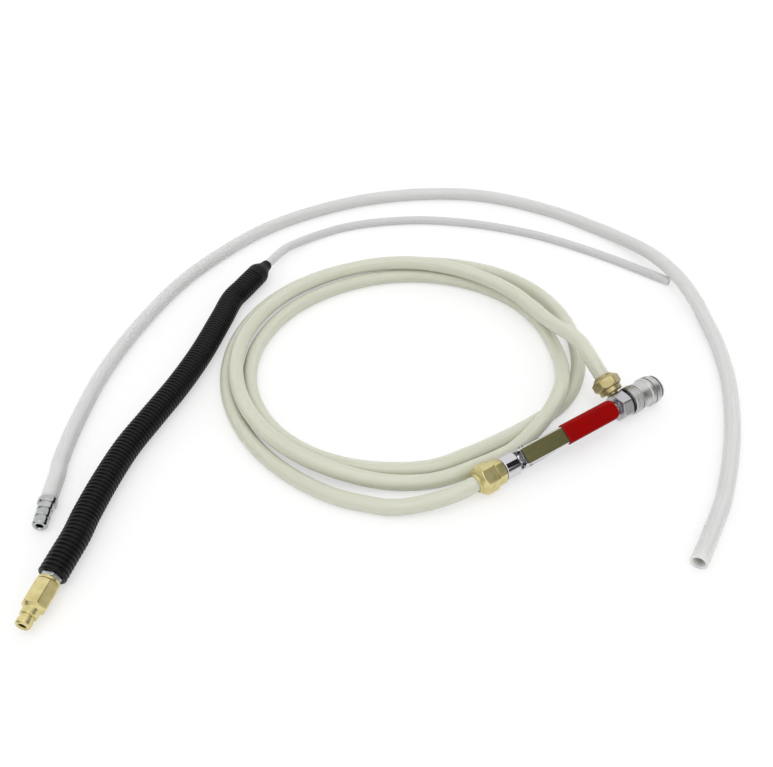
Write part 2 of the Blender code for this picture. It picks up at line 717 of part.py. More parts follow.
def hose_fitting(name, frame, along, at, flats, hex_length, steps, spin=0.0):
    """Tail inside the hose, spigot inside the nut, hexagon, then steps of (length, radius)."""
    tail = flat_bore(HOSE_RADIUS, HOSE_WALL, COIL_RESOLUTION) - FIT
    shoulder = HOSE_DEPTH + FIT
    spigot = NUT_BORE_RADIUS - FIT
    outer = [(TAIL_START, tail), (shoulder, tail), (shoulder, spigot), (NUT_SEAT, spigot)]
    outer += hex_step(NUT_SEAT, hex_length, flats, FITTING_CHAMFER)
    station = NUT_SEAT + hex_length
    for length, radius in steps:
        outer.append((station, radius))
        station += length
        outer.append((station, radius))
    bore = [(TAIL_START, FITTING_BORE), (station, FITTING_BORE)]
    fitting = turned(name, outer, bore, "brass", MIDDLE_SIDES)
    hexagon(fitting, flats, TAIL_START, station - TAIL_START, spin)
    return place(fitting, frame, along, at)


def valve_body(frame):
    """Chrome body: round head, flat for the lever's cams, chamber, seat and stepped bores."""
    shoulder = HEAD_LENGTH
    barrel_end = shoulder + BARREL_LENGTH
    taper_end = barrel_end + TAPER_LENGTH
    outer = [(0, HEAD_RADIUS - HEAD_CHAMFER), (HEAD_CHAMFER, HEAD_RADIUS),
             (shoulder - HEAD_CHAMFER, HEAD_RADIUS), (shoulder, HEAD_RADIUS - HEAD_CHAMFER),
             (shoulder, BARREL_RADIUS), (barrel_end, BARREL_RADIUS), (taper_end, NOSE_RADIUS),
             (VALVE_LENGTH, NOSE_RADIUS)]
    body = turned("valve_body", outer, None, "chrome")
    place(body, frame, "+X", (VALVE_START, 0, 0))

    flat_start = VALVE_START + HEAD_LENGTH
    boolean(body, box_cutter("flat_cutter", frame, (flat_start, -HEAD_RADIUS, FLAT_HEIGHT),
                             (flat_start + FLAT_LENGTH, HEAD_RADIUS, HEAD_RADIUS + OVERRUN)))
    pin = PIN_STATION - VALVE_START
    socket = REAR_SPIGOT_RADIUS + FIT
    inlet = turned("inlet_cutter", [(-OVERRUN, socket), (SOCKET_DEPTH, socket),
                                    (SOCKET_DEPTH, INLET_RADIUS), (pin, INLET_RADIUS)],
                   None, None, SMALL_SIDES)
    boolean(body, place(inlet, frame, "+X", (VALVE_START, 0, 0)))
    pipe = PIPE_RADIUS + FIT
    outlet = turned("outlet_cutter", [(OUTLET_START, OUTLET_RADIUS),
                                      (VALVE_LENGTH - NOSE_LENGTH - FIT, OUTLET_RADIUS),
                                      (VALVE_LENGTH - NOSE_LENGTH - FIT, pipe),
                                      (VALVE_LENGTH + OVERRUN, pipe)], None, None, SIDES)
    boolean(body, place(outlet, frame, "+X", (VALVE_START, 0, 0)))
    chamber = turned("chamber_cutter", [(-PASSAGE_DROP, SEAT_RADIUS), (-CHAMBER_DROP, SEAT_RADIUS),
                                        (-CHAMBER_DROP, CHAMBER_RADIUS),
                                        (FLAT_HEIGHT + OVERRUN, CHAMBER_RADIUS)],
                     None, None, MIDDLE_SIDES)
    boolean(body, place(chamber, frame, "+Z", (PIN_STATION, 0, 0)))
    passage_length = VALVE_START + OUTLET_START + PASSAGE_LAP - PIN_STATION
    boolean(body, rod_cutter("passage_cutter", frame, "+X", (PIN_STATION, 0, -PASSAGE_DROP),
                             passage_length, PASSAGE_RADIUS, HOLE_SIDES))
    return body


def valve_inside(frame):
    """Gland nut, stem seal, stem with its crosshead, seat pad, spring and lever pin."""
    at_pin = (PIN_STATION, 0, 0)
    seal_major = STEM_RADIUS + FIT + SEAL_MINOR
    groove_radius = seal_major + SEAL_MINOR + FIT
    hole = STEM_RADIUS + FIT
    base = FLAT_HEIGHT - GLAND_DROP
    head = FLAT_HEIGHT + FIT
    groove = base + GLAND_GROOVE_LIP
    groove_end = groove + 2 * (SEAL_MINOR + FIT)
    outer = [(base, GLAND_RADIUS), (head, GLAND_RADIUS)]
    outer += hex_step(head, GLAND_HEAD, GLAND_FLATS, GLAND_CHAMFER)
    gland = turned("gland_nut", outer,
                   [(base, hole), (groove, hole), (groove, groove_radius),
                    (groove_end, groove_radius), (groove_end, hole), (head + GLAND_HEAD, hole)],
                   "brass", MIDDLE_SIDES)
    hexagon(gland, GLAND_FLATS, base, head + GLAND_HEAD - base)
    place(gland, frame, "+Z", at_pin)
    seal = sealing_ring("stem_seal", seal_major, SEAL_MINOR, "black_rubber")
    place(seal, frame, "+Z", (PIN_STATION, 0, (groove + groove_end) / 2))

    pad_base = -CHAMBER_DROP + FIT
    cup_base = pad_base + PAD_LENGTH + FIT - CUP_RECESS
    cup_top = cup_base + CUP_LENGTH
    stem = turned("valve_stem", [(cup_base, CUP_RADIUS), (cup_top, CUP_RADIUS),
                                 (cup_top, STEM_RADIUS), (PIN_HEIGHT, STEM_RADIUS)],
                  None, "steel", SMALL_SIDES)
    place(stem, frame, "+Z", at_pin)
    ear_inner = LEVER_WIDTH / 2 - LEVER_EAR
    cross_half = ear_inner - FIT
    crosshead = rod_cutter("crosshead", frame, "+Y", (PIN_STATION, -cross_half, PIN_HEIGHT),
                           2 * cross_half, CROSSHEAD_RADIUS)
    boolean(stem, crosshead, "UNION")
    recess = rod_cutter("pad_recess", frame, "+Z", (PIN_STATION, 0, cup_base - OVERRUN),
                        OVERRUN + CUP_RECESS, CUP_RADIUS - FIT - FIT)
    boolean(stem, recess)
    boolean(stem, rod_cutter("pin_hole", frame, "+Y",
                             (PIN_STATION, -cross_half - OVERRUN, PIN_HEIGHT),
                             2 * (cross_half + OVERRUN), PIN_RADIUS + FIT))
    pad_radius = CUP_RADIUS - 3 * FIT
    pad = turned("seat_pad", [(pad_base, pad_radius), (pad_base + PAD_LENGTH, pad_radius)],
                 None, "black_rubber", SMALL_SIDES)
    place(pad, frame, "+Z", at_pin)
    spring("valve_spring", frame, "+Z", (PIN_STATION, 0, cup_top), base - cup_top,
           (STEM_RADIUS, CUP_RADIUS), VALVE_WIRE, VALVE_TURNS)

    pin_half = LEVER_WIDTH / 2 + FIT
    pin = turned("lever_pin", [(-pin_half - PIN_HEAD_LENGTH, PIN_RADIUS), (pin_half, PIN_RADIUS),
                               (pin_half, PIN_HEAD_RADIUS),
                               (pin_half + PIN_HEAD_LENGTH, PIN_HEAD_RADIUS)],
                 None, "steel", SMALL_SIDES)
    place(pin, frame, "+Y", (PIN_STATION, 0, PIN_HEIGHT))


def cam_outline():
    """Heel of the lever's ears about the pin: it lifts evenly as the lever swings up."""
    start_height = PIN_HEIGHT - FLAT_HEIGHT - FIT
    slope = CAM_LIFT / LEVER_SWING
    outline = []
    for i in range(CAM_STEPS + 1):
        swing = LEVER_SWING * (1 - i / CAM_STEPS)
        height = start_height + slope * swing
        outline.append((-height * math.sin(swing) - slope * math.cos(swing),
                        -height * math.cos(swing) + slope * math.sin(swing)))
    return outline


def outline_mesh(name, outline, half_width):
    """A flat outline in local X and Y made solid by half its width each way along local Z."""
    curve = bpy.data.curves.new(name, "CURVE")
    curve.dimensions = "2D"
    curve.fill_mode = "BOTH"
    curve.extrude = half_width
    spline = curve.splines.new("POLY")
    spline.use_cyclic_u = True
    spline.points.add(len(outline) - 1)
    for point, (x, y) in zip(spline.points, outline):
        point.co = (x, y, 0, 1)
    guide = bpy.data.objects.new(name + "_guide", curve)
    bpy.context.scene.collection.objects.link(guide)
    bpy.context.view_layer.update()
    evaluated = guide.evaluated_get(bpy.context.evaluated_depsgraph_get())
    mesh = bpy.data.meshes.new_from_object(evaluated)
    bpy.data.objects.remove(guide)
    bpy.data.curves.remove(curve)
    shape = bmesh.new()
    shape.from_mesh(mesh)
    bmesh.ops.remove_doubles(shape, verts=shape.verts, dist=MERGE)
    bmesh.ops.recalc_face_normals(shape, faces=shape.faces)
    shape.to_mesh(mesh)
    shape.free()
    return mesh


def rounded_bar_mesh(name, start, end, half_width, low, high, round_radius):
    """A bar along local X whose two upper long edges are rounded."""
    mesh = box_mesh(name, (start, -half_width, low), (end, half_width, high))
    shape = bmesh.new()
    shape.from_mesh(mesh)
    long_edges = []
    for edge in shape.edges:
        one, two = (vertex.co for vertex in edge.verts)
        if abs(one.x - two.x) > (end - start) / 2 and one.z > (low + high) / 2:
            long_edges.append(edge)
    bmesh.ops.bevel(shape, geom=long_edges, offset=round_radius, segments=GRIP_STEPS,
                    profile=0.5, affect="EDGES")
    shape.to_mesh(mesh)
    shape.free()
    return mesh


def lever(pivot):
    """Channel lever: cam-heeled ears at the pin, rounded long edges, hollow underneath."""
    top = LEVER_TOP - PIN_HEIGHT
    heel = cam_outline()
    rear = heel[0][0]
    foot_depth = heel[-1][1]
    front = LEVER_END - PIN_STATION
    taper_end = EAR_TAPER_END - PIN_STATION
    corner = LEVER_BEND + FIT
    outline = [(rear, top - corner), (rear + corner + OVERRUN, top + OVERRUN),
               (front, top + OVERRUN), (front, top - EAR_DEPTH_FRONT),
               (taper_end, top - EAR_DEPTH_FRONT), (EAR_FOOT, foot_depth)]
    outline += list(reversed(heel))
    mesh = outline_mesh("lever", outline, LEVER_WIDTH / 2 + OVERRUN)
    thing = add_object("lever", mesh, "steel")
    thing.parent = pivot
    thing.rotation_euler = (math.pi / 2, 0, 0)

    inner = LEVER_WIDTH / 2 - LEVER_EAR
    deep = foot_depth - OVERRUN
    bar = add_object("lever_bends", rounded_bar_mesh("lever_bends", rear - OVERRUN, front + OVERRUN,
                                                     LEVER_WIDTH / 2, deep, top, LEVER_BEND), None)
    bar.parent = pivot
    boolean(thing, bar, "INTERSECT")
    hollow_mesh = rounded_bar_mesh("lever_hollow", rear - OVERRUN, front + OVERRUN, inner,
                                   deep - OVERRUN, top - LEVER_PLATE, LEVER_BEND - LEVER_EAR + FIT)
    hollow = add_object("lever_hollow", hollow_mesh, None)
    hollow.parent = pivot
    boolean(thing, hollow)
    notch_half = inner - FIT
    notch = box_cutter("lever_notch", pivot,
                       (rear - OVERRUN, -notch_half, top - LEVER_PLATE - OVERRUN),
                       (-PLATE_SETBACK, notch_half, top + OVERRUN))
    boolean(thing, notch)
    hole = rod_cutter("lever_pin_hole", pivot, "+Y", (0, -LEVER_WIDTH, 0), 2 * LEVER_WIDTH,
                      PIN_RADIUS + FIT)
    boolean(thing, hole)
    return thing


def lever_grip(pivot):
    """Dipped grip: a rounded bar with an open rear end that swallows the lever."""
    start = GRIP_START - PIN_STATION
    end = GRIP_END - PIN_STATION
    low = GRIP_BOTTOM - PIN_HEIGHT
    high = GRIP_TOP - PIN_HEIGHT
    half = GRIP_WIDTH / 2
    mesh = box_mesh("lever_grip", (start - GRIP_CORNER, -half, low), (end, half, high))
    shape = bmesh.new()
    shape.from_mesh(mesh)
    corners = []
    for edge in shape.edges:
        one, two = (vertex.co for vertex in edge.verts)
        if abs(one.z - two.z) > (high - low) / 2 and one.x > start:
            corners.append(edge)
    bmesh.ops.bevel(shape, geom=corners, offset=GRIP_CORNER, segments=GRIP_STEPS + 1,
                    profile=0.5, affect="EDGES")
    shape.to_mesh(mesh)
    shape.free()
    grip = add_object("lever_grip", mesh, "red_vinyl")
    grip.parent = pivot
    soften = grip.modifiers.new("Soften", "BEVEL")
    soften.width = GRIP_ROUND
    soften.segments = GRIP_STEPS
    soften.limit_method = "ANGLE"
    soften.angle_limit = GRIP_SOFTEN_ANGLE
    boolean(grip, box_cutter("grip_end_cutter", pivot,
                             (start - 2 * GRIP_CORNER, -GRIP_WIDTH, low - OVERRUN),
                             (start, GRIP_WIDTH, high + OVERRUN)))
    lever_top = LEVER_TOP - PIN_HEIGHT
    boolean(grip, box_cutter("grip_cavity", pivot,
                             (start - OVERRUN, -LEVER_WIDTH / 2 - FIT,
                              lever_top - EAR_DEPTH_FRONT - FIT),
                             (LEVER_END - PIN_STATION + FIT, LEVER_WIDTH / 2 + FIT,
                              lever_top + FIT)))
    return grip


def outlet_pipe(frame):
    start = NOSE_END - NOSE_LENGTH
    end = COUPLER_START + PIPE_SOCKET_DEPTH - FIT
    pipe = turned("outlet_pipe", [(start, PIPE_RADIUS), (end, PIPE_RADIUS)],
                  [(start, PIPE_BORE), (end, PIPE_BORE)], "chrome", MIDDLE_SIDES)
    return place(pipe, frame)


def coupler_body(frame):
    """Hexagon with the side port, grooved collar, and barrel with the plug's socket."""
    collar_end = COUPLER_HEX_LENGTH + COLLAR_LENGTH
    groove_floor = SPOOL_RADIUS - SNAP_DEPTH
    snap_end = SNAP_GROOVE_START + SNAP_WIDTH
    outer = hex_step(0, COUPLER_HEX_LENGTH, COUPLER_FLATS, COUPLER_CHAMFER)
    outer += [(COUPLER_HEX_LENGTH, COLLAR_RADIUS), (COLLAR_RING_START, COLLAR_RADIUS),
              (COLLAR_RING_START, COLLAR_RING_RADIUS),
              (COLLAR_RING_START + COLLAR_RING_WIDTH, COLLAR_RING_RADIUS),
              (COLLAR_RING_START + COLLAR_RING_WIDTH, COLLAR_RADIUS), (collar_end, COLLAR_RADIUS),
              (collar_end, SPOOL_RADIUS), (SNAP_GROOVE_START, SPOOL_RADIUS),
              (SNAP_GROOVE_START, groove_floor), (snap_end, groove_floor), (snap_end, SPOOL_RADIUS),
              (COUPLER_LENGTH - SNAP_DEPTH, SPOOL_RADIUS), (COUPLER_LENGTH, SPOOL_RADIUS - SNAP_DEPTH)]
    seal_half = SOCKET_SEAL_MINOR + FIT
    seal_floor = PLUG_SOCKET_RADIUS - SOCKET_SEAL_REACH + 2 * SOCKET_SEAL_MINOR + FIT
    lip_end = LIP_START + LIP_LENGTH
    mouth = COUPLER_LENGTH - PLUG_MOUTH_LENGTH
    pipe = PIPE_RADIUS + FIT
    bore = [(0, pipe), (PIPE_SOCKET_DEPTH, pipe), (PIPE_SOCKET_DEPTH, PIPE_BORE),
            (POPPET_CHAMBER_START, PIPE_BORE), (POPPET_CHAMBER_START, POPPET_CHAMBER_RADIUS),
            (LIP_START, POPPET_CHAMBER_RADIUS), (LIP_START, LIP_RADIUS), (lip_end, LIP_RADIUS),
            (lip_end, PLUG_SOCKET_RADIUS), (SOCKET_SEAL_STATION - seal_half, PLUG_SOCKET_RADIUS),
            (SOCKET_SEAL_STATION - seal_half, seal_floor),
            (SOCKET_SEAL_STATION + seal_half, seal_floor),
            (SOCKET_SEAL_STATION + seal_half, PLUG_SOCKET_RADIUS), (mouth, PLUG_SOCKET_RADIUS),
            (COUPLER_LENGTH, PLUG_MOUTH_RADIUS)]
    body = turned("coupler_body", outer, bore, "zinc")
    hexagon(body, COUPLER_FLATS, 0, COUPLER_LENGTH, math.pi / 6)
    place(body, frame, "+X", (COUPLER_START, 0, 0))

    flat = COUPLER_FLATS / 2
    port = turned("port_cutter", [(0, TEE_PORT_HOLE), (flat - TEE_PORT_DEPTH, TEE_PORT_HOLE),
                                  (flat - TEE_PORT_DEPTH, TEE_SPIGOT_RADIUS + FIT),
                                  (flat + OVERRUN, TEE_SPIGOT_RADIUS + FIT)],
                  None, None, MIDDLE_SIDES)
    boolean(body, place(port, frame, "+Y", (COUPLER_START + TEE_STATION, 0, 0)))
    reach = PLUG_SOCKET_RADIUS - OVERRUN
    for i in range(BALL_COUNT):
        angle = 2 * math.pi * (i + 0.5) / BALL_COUNT
        at = (COUPLER_START + BALL_STATION, 0, 0)
        spoke = frame_at(f"ball_frame_{i + 1}", at, (angle, 0, 0), frame)
        hole = rod_cutter(f"ball_hole_{i + 1}", spoke, "+Z", (0, 0, reach),
                          SPOOL_RADIUS - reach + OVERRUN, BALL_HOLE_RADIUS, HOLE_SIDES)
        boolean(body, hole)
        lock_ball(f"lock_ball_{i + 1}", spoke)
    return body


def lock_ball(name, spoke):
    """One locking ball at rest in its hole."""
    mesh = bpy.data.meshes.new(name)
    shape = bmesh.new()
    bmesh.ops.create_icosphere(shape, subdivisions=2, radius=BALL_RADIUS)
    shape.to_mesh(mesh)
    shape.free()
    ball = add_object(name, mesh, "steel")
    ball.parent = spoke
    ball.location = (0, 0, BALL_CIRCLE)
    return ball


def coupler_rings(frame):
    """Black ring on the collar, seal in the socket, and snap ring that stops the sleeve."""
    ring_middle = COUPLER_START + COLLAR_RING_START + COLLAR_RING_WIDTH / 2
    ring = sealing_ring("coupler_ring", COLLAR_RING_RADIUS + FIT + COLLAR_RING_MINOR,
                        COLLAR_RING_MINOR, "black_rubber", SIDES)
    place(ring, frame, "+X", (ring_middle, 0, 0))
    seal_major = PLUG_SOCKET_RADIUS - SOCKET_SEAL_REACH + SOCKET_SEAL_MINOR
    seal = sealing_ring("socket_seal", seal_major, SOCKET_SEAL_MINOR, "black_rubber")
    place(seal, frame, "+X", (COUPLER_START + SOCKET_SEAL_STATION, 0, 0))
    start = COUPLER_START + SNAP_GROOVE_START
    inner = SPOOL_RADIUS - SNAP_DEPTH + FIT
    outer = SPOOL_RADIUS + SNAP_STAND
    thin = SNAP_WIDTH - 2 * SIDE_GAP
    snap = turned("snap_ring", [(0, outer), (thin, outer)], [(0, inner), (thin, inner)], "steel",
                  MIDDLE_SIDES)
    place(snap, frame, "+X", (start + SIDE_GAP, 0, 0))
    boolean(snap, box_cutter("snap_slot", frame, (start - OVERRUN, -SNAP_SLOT / 2, 0),
                             (start + SNAP_WIDTH + OVERRUN, SNAP_SLOT / 2, HEAD_RADIUS + OVERRUN)))


def coupler_sleeve(frame):
    """Ribbed sleeve with a knurled band; inside, its spring's room, a land and a release groove."""
    outer = [(0, SLEEVE_WAIST_RADIUS)]
    for i in range(SLEEVE_RIBS):
        start = SLEEVE_RIB_PITCH * i
        end = start + SLEEVE_RIB_PITCH
        side = SLEEVE_RIB_PITCH * SLEEVE_RIB_SIDE_SHARE
        outer += [(start + side, SLEEVE_RIB_RADIUS), (end - side, SLEEVE_RIB_RADIUS),
                  (end, SLEEVE_WAIST_RADIUS)]
    groove_start = SLEEVE_GROOVE_AT - SLEEVE_GROOVE_WIDTH / 2
    groove_end = SLEEVE_GROOVE_AT + SLEEVE_GROOVE_WIDTH / 2
    outer += [(SLEEVE_BAND_START, SLEEVE_WAIST_RADIUS),
              (SLEEVE_BAND_START + SLEEVE_FLARE, SLEEVE_BAND_RADIUS),
              (groove_start, SLEEVE_BAND_RADIUS),
              (SLEEVE_GROOVE_AT, SLEEVE_BAND_RADIUS - SLEEVE_GROOVE_DEPTH),
              (groove_end, SLEEVE_BAND_RADIUS), (SLEEVE_BAND_END, SLEEVE_BAND_RADIUS),
              (SLEEVE_LENGTH, SLEEVE_MOUTH_RADIUS)]
    land = SPOOL_RADIUS + FIT
    land_end = SLEEVE_LAND_START + SLEEVE_LAND_LENGTH
    release_end = land_end + SLEEVE_RELEASE_LENGTH
    bore = [(0, SLEEVE_SPRING_RADIUS), (SLEEVE_LAND_START, SLEEVE_SPRING_RADIUS),
            (SLEEVE_LAND_START, land), (land_end, land), (land_end, SLEEVE_RELEASE_RADIUS),
            (release_end, SLEEVE_RELEASE_RADIUS), (release_end, land), (SLEEVE_LENGTH, land)]
    sleeve = turned("coupler_sleeve", outer, bore, "zinc")
    place(sleeve, frame, "+X", (SLEEVE_START, 0, 0))
    seat = COUPLER_START + COUPLER_HEX_LENGTH + COLLAR_LENGTH
    spring("sleeve_spring", frame, "+X", (seat, 0, 0), SLEEVE_START + SLEEVE_LAND_START - seat,
           (SPOOL_RADIUS, SLEEVE_SPRING_RADIUS), SLEEVE_WIRE, SLEEVE_TURNS)


def poppet(frame):
    """Spring-loaded poppet that a plug pushes back off its lip."""
    head_end = LIP_START - FIT
    head_start = head_end - POPPET_HEAD_LENGTH
    boss_end = head_end + POPPET_BOSS_LENGTH
    outer = [(head_start - POPPET_TAIL_LENGTH, POPPET_TAIL_RADIUS), (head_start, POPPET_TAIL_RADIUS),
             (head_start, POPPET_HEAD_RADIUS), (head_end, POPPET_HEAD_RADIUS),
             (head_end, POPPET_BOSS_RADIUS), (boss_end, POPPET_BOSS_RADIUS)]
    piece = turned("poppet", outer, None, "brass", SMALL_SIDES)
    place(piece, frame, "+X", (COUPLER_START, 0, 0))
    spring("poppet_spring", frame, "+X", (COUPLER_START + POPPET_CHAMBER_START, 0, 0),
           head_start - POPPET_CHAMBER_START, (POPPET_TAIL_RADIUS, POPPET_CHAMBER_RADIUS),
           POPPET_WIRE, POPPET_TURNS)


def drain_plug(frame):
    """Chrome quick-connect plug with its barbs inside the drain hose."""
    barb = flat_bore(HOSE_RADIUS, HOSE_WALL, HOSE_RESOLUTION) - FIT
    outer = []
    for i in range(BARB_COUNT):
        start = -BARB_PITCH * (BARB_COUNT - i)
        outer += [(start, barb - BARB_RISE), (start + BARB_PITCH - BARB_RISE, barb)]
    steps = ((DRAIN_COLLAR_LENGTH, DRAIN_COLLAR_RADIUS), (DRAIN_GROOVE_LENGTH, DRAIN_GROOVE_RADIUS),
             (DRAIN_BODY_LENGTH, DRAIN_BODY_RADIUS), (DRAIN_WAIST_LENGTH, DRAIN_WAIST_RADIUS))
    station = FIT
    outer.append((station, barb - BARB_RISE))
    for length, radius in steps:
        outer.append((station, radius))
        station += length
        outer.append((station, radius))
    outer += [(station, DRAIN_NOSE_RADIUS),
              (station + DRAIN_NOSE_LENGTH - PROBE_TIP_CHAMFER, DRAIN_NOSE_RADIUS),
              (station + DRAIN_NOSE_LENGTH, DRAIN_NOSE_RADIUS - PROBE_TIP_CHAMFER)]
    end = station + DRAIN_NOSE_LENGTH
    plug = turned("drain_plug", outer, [(outer[0][0], DRAIN_BORE), (end, DRAIN_BORE)], "chrome",
                  MIDDLE_SIDES)
    return place(plug, frame)


def probe(frame):
    """Brass plug, washer, and the lock nut whose spigot holds the corrugated sleeve."""
    nut_end = FIT + LOCK_NUT_LENGTH
    spigot = flat_bore(CONDUIT_BORE, FIT, HOSE_RESOLUTION)
    stub_hole = PROBE_STUB_RADIUS + FIT
    lock = turned("probe_lock_nut",
                  [(-LOCK_SPIGOT_LENGTH, spigot), (FIT, spigot)]
                  + hex_step(FIT, LOCK_NUT_LENGTH, LOCK_NUT_FLATS, LOCK_NUT_CHAMFER),
                  [(-LOCK_SPIGOT_LENGTH, stub_hole), (nut_end, stub_hole)], "zinc", MIDDLE_SIDES)
    hexagon(lock, LOCK_NUT_FLATS, -LOCK_SPIGOT_LENGTH, nut_end + LOCK_SPIGOT_LENGTH)
    place(lock, frame)
    washer_start = nut_end + FIT
    washer_end = washer_start + WASHER_LENGTH
    washer = turned("probe_washer", [(washer_start, WASHER_RADIUS), (washer_end, WASHER_RADIUS)],
                    [(washer_start, stub_hole), (washer_end, stub_hole)], "brass", MIDDLE_SIDES)
    place(washer, frame)

    hex_start = washer_end + FIT
    hex_end = hex_start + PROBE_HEX_LENGTH
    stub_start = hex_start - PROBE_STUB_LENGTH - washer_end
    tail = flat_bore(FILLER_RADIUS, FILLER_WALL, COIL_RESOLUTION) - FIT
    nipple_start = hex_end + PROBE_CONE_LENGTH
    groove_start = nipple_start + PROBE_NIPPLE_LENGTH
    nose_start = groove_start + PROBE_GROOVE_LENGTH
    nose_end = nose_start + PROBE_NOSE_LENGTH
    outer = [(stub_start - PROBE_TAIL_LENGTH, tail), (stub_start, tail),
             (stub_start, PROBE_STUB_RADIUS), (hex_start, PROBE_STUB_RADIUS)]
    outer += hex_step(hex_start, PROBE_HEX_LENGTH, PROBE_FLATS, PROBE_CHAMFER)
    outer += [(nipple_start, PROBE_NIPPLE_RADIUS), (groove_start, PROBE_NIPPLE_RADIUS),
              (groove_start, PROBE_GROOVE_RADIUS), (nose_start, PROBE_GROOVE_RADIUS),
              (nose_start, PROBE_NOSE_RADIUS), (nose_end - PROBE_TIP_CHAMFER, PROBE_NOSE_RADIUS),
              (nose_end, PROBE_NOSE_RADIUS - PROBE_TIP_CHAMFER)]
    bore = [(stub_start - PROBE_TAIL_LENGTH, PROBE_TAIL_BORE), (stub_start, PROBE_TAIL_BORE),
            (hex_start, PROBE_BORE), (nose_end, PROBE_BORE)]
    plug = turned("probe_plug", outer, bore, "brass", MIDDLE_SIDES)
    hexagon(plug, PROBE_FLATS, outer[0][0], nose_end - outer[0][0], math.pi / 6)
    place(plug, frame)
    return stub_start - FIT


def sleeve_cap(frame):
    """Rubber end cap: spigot in the sleeve, band, dome and the tip round the filler tube."""
    spigot = flat_bore(CONDUIT_BORE, FIT, HOSE_RESOLUTION)
    band_end = FIT + CAP_BAND_LENGTH
    dome_end = band_end + CAP_DOME_LENGTH
    neck_end = dome_end + CAP_NECK_LENGTH
    tip_end = neck_end + CAP_TIP_LENGTH
    hole = FILLER_RADIUS + FIT
    tip = CAP_NECK_RADIUS - FIT
    dome_middle = (band_end + dome_end) / 2
    outer = [(-CAP_SPIGOT_LENGTH, spigot), (FIT, spigot), (FIT, CAP_BAND_RADIUS),
             (band_end, CAP_BAND_RADIUS),
             (dome_middle, CAP_DOME_RADIUS + (CAP_BAND_RADIUS - CAP_DOME_RADIUS) * CAP_SWELL_SHARE),
             (dome_end, CAP_DOME_RADIUS), (neck_end, CAP_NECK_RADIUS), (neck_end, tip),
             (tip_end, tip)]
    cap = turned("sleeve_cap", outer, [(-CAP_SPIGOT_LENGTH, hole), (tip_end, hole)],
                 "black_rubber", MIDDLE_SIDES)
    place(cap, frame)
    return tip_end


def on_axis(end, heading, distance):
    """A point on a loose assembly's axis, measured from its first point."""
    return end + Vector((math.cos(heading), math.sin(heading), 0)) * distance


def drain_hose():
    barbed = on_axis(DRAIN_END, DRAIN_HEADING, -BARB_PITCH * (BARB_COUNT + 1))
    straight = on_axis(DRAIN_END, DRAIN_HEADING, -4 * HOSE_RADIUS)
    route = [DRAIN_END, *smooth_route([barbed, straight, *DRAIN_ROUTE], 5 * HOSE_RADIUS)]
    settle(route, HOSE_RADIUS)
    print(f"drain_hose: {path_length(route):.3f} m")
    return hose("drain_hose", route, HOSE_RADIUS, HOSE_WALL, HOSE_RESOLUTION, "clear_hose")


def conduit_route():
    """The corrugated sleeve's middle, between the points where its straight ends begin."""
    return [on_axis(PROBE_END, PROBE_HEADING, -STRAIGHT_END),
            on_axis(PROBE_END, PROBE_HEADING, -2 * STRAIGHT_END), *CONDUIT_ROUTE,
            on_axis(CAP_END, CAP_HEADING, -2 * STRAIGHT_END),
            on_axis(CAP_END, CAP_HEADING, -STRAIGHT_END)]


def ribbed_sleeve():
    """Corrugated sleeve: two rings of unlike radius a rib, and a plain bore cut through."""
    route = smooth_route([PROBE_END, *conduit_route(), CAP_END], RIB_PITCH / 2)
    shares = [RIB_CREST_RADIUS / RIB_ROOT_RADIUS if i % 2 else 1.0 for i in range(len(route))]
    print(f"ribbed_sleeve: {path_length(route):.3f} m, {len(route) // 2} ribs")
    mesh = tube_mesh("ribbed_sleeve", route, RIB_ROOT_RADIUS, HOSE_RESOLUTION, shares)
    sleeve = add_object("ribbed_sleeve", mesh, "black_plastic")
    bore = [on_axis(PROBE_END, PROBE_HEADING, OVERRUN),
            *smooth_route(conduit_route(), 3 * RIB_CREST_RADIUS),
            on_axis(CAP_END, CAP_HEADING, OVERRUN)]
    cutter = add_object("conduit_bore", tube_mesh("conduit_bore", bore, CONDUIT_BORE,
                                                  HOSE_RESOLUTION), None)
    boolean(sleeve, cutter)
    return sleeve


def filler_tube(tail_station, cap_tip):
    """Thin tube from the probe's tail, through the sleeve and cap, and out over the surface."""
    first = on_axis(PROBE_END, PROBE_HEADING, tail_station)
    leaving = on_axis(CAP_END, CAP_HEADING, cap_tip)
    past = on_axis(CAP_END, CAP_HEADING, cap_tip + FILLER_RADIUS)
    inside = smooth_route(conduit_route(), 6 * FILLER_RADIUS)
    outside = settle(smooth_route([leaving, past, *FILLER_ROUTE], 6 * FILLER_RADIUS), FILLER_RADIUS)
    print(f"filler_tube: {path_length(outside):.3f} m past the cap")
    path = [first, *inside, *outside]
    print(f"filler_tube: {path_length(path):.3f} m in all")
    return hose("filler_tube", path, FILLER_RADIUS, FILLER_WALL, COIL_RESOLUTION, "clear_hose",
                EDGE_DOWN)


def valve_point(station, branch, height):
    """A point of the valve's own frame, in the part's frame."""
    return Vector((STATION_ZERO_X + station,
                   AXIS_Y + branch * math.cos(ROLL) - height * math.sin(ROLL),
                   AXIS_Z + branch * math.sin(ROLL) + height * math.cos(ROLL)))


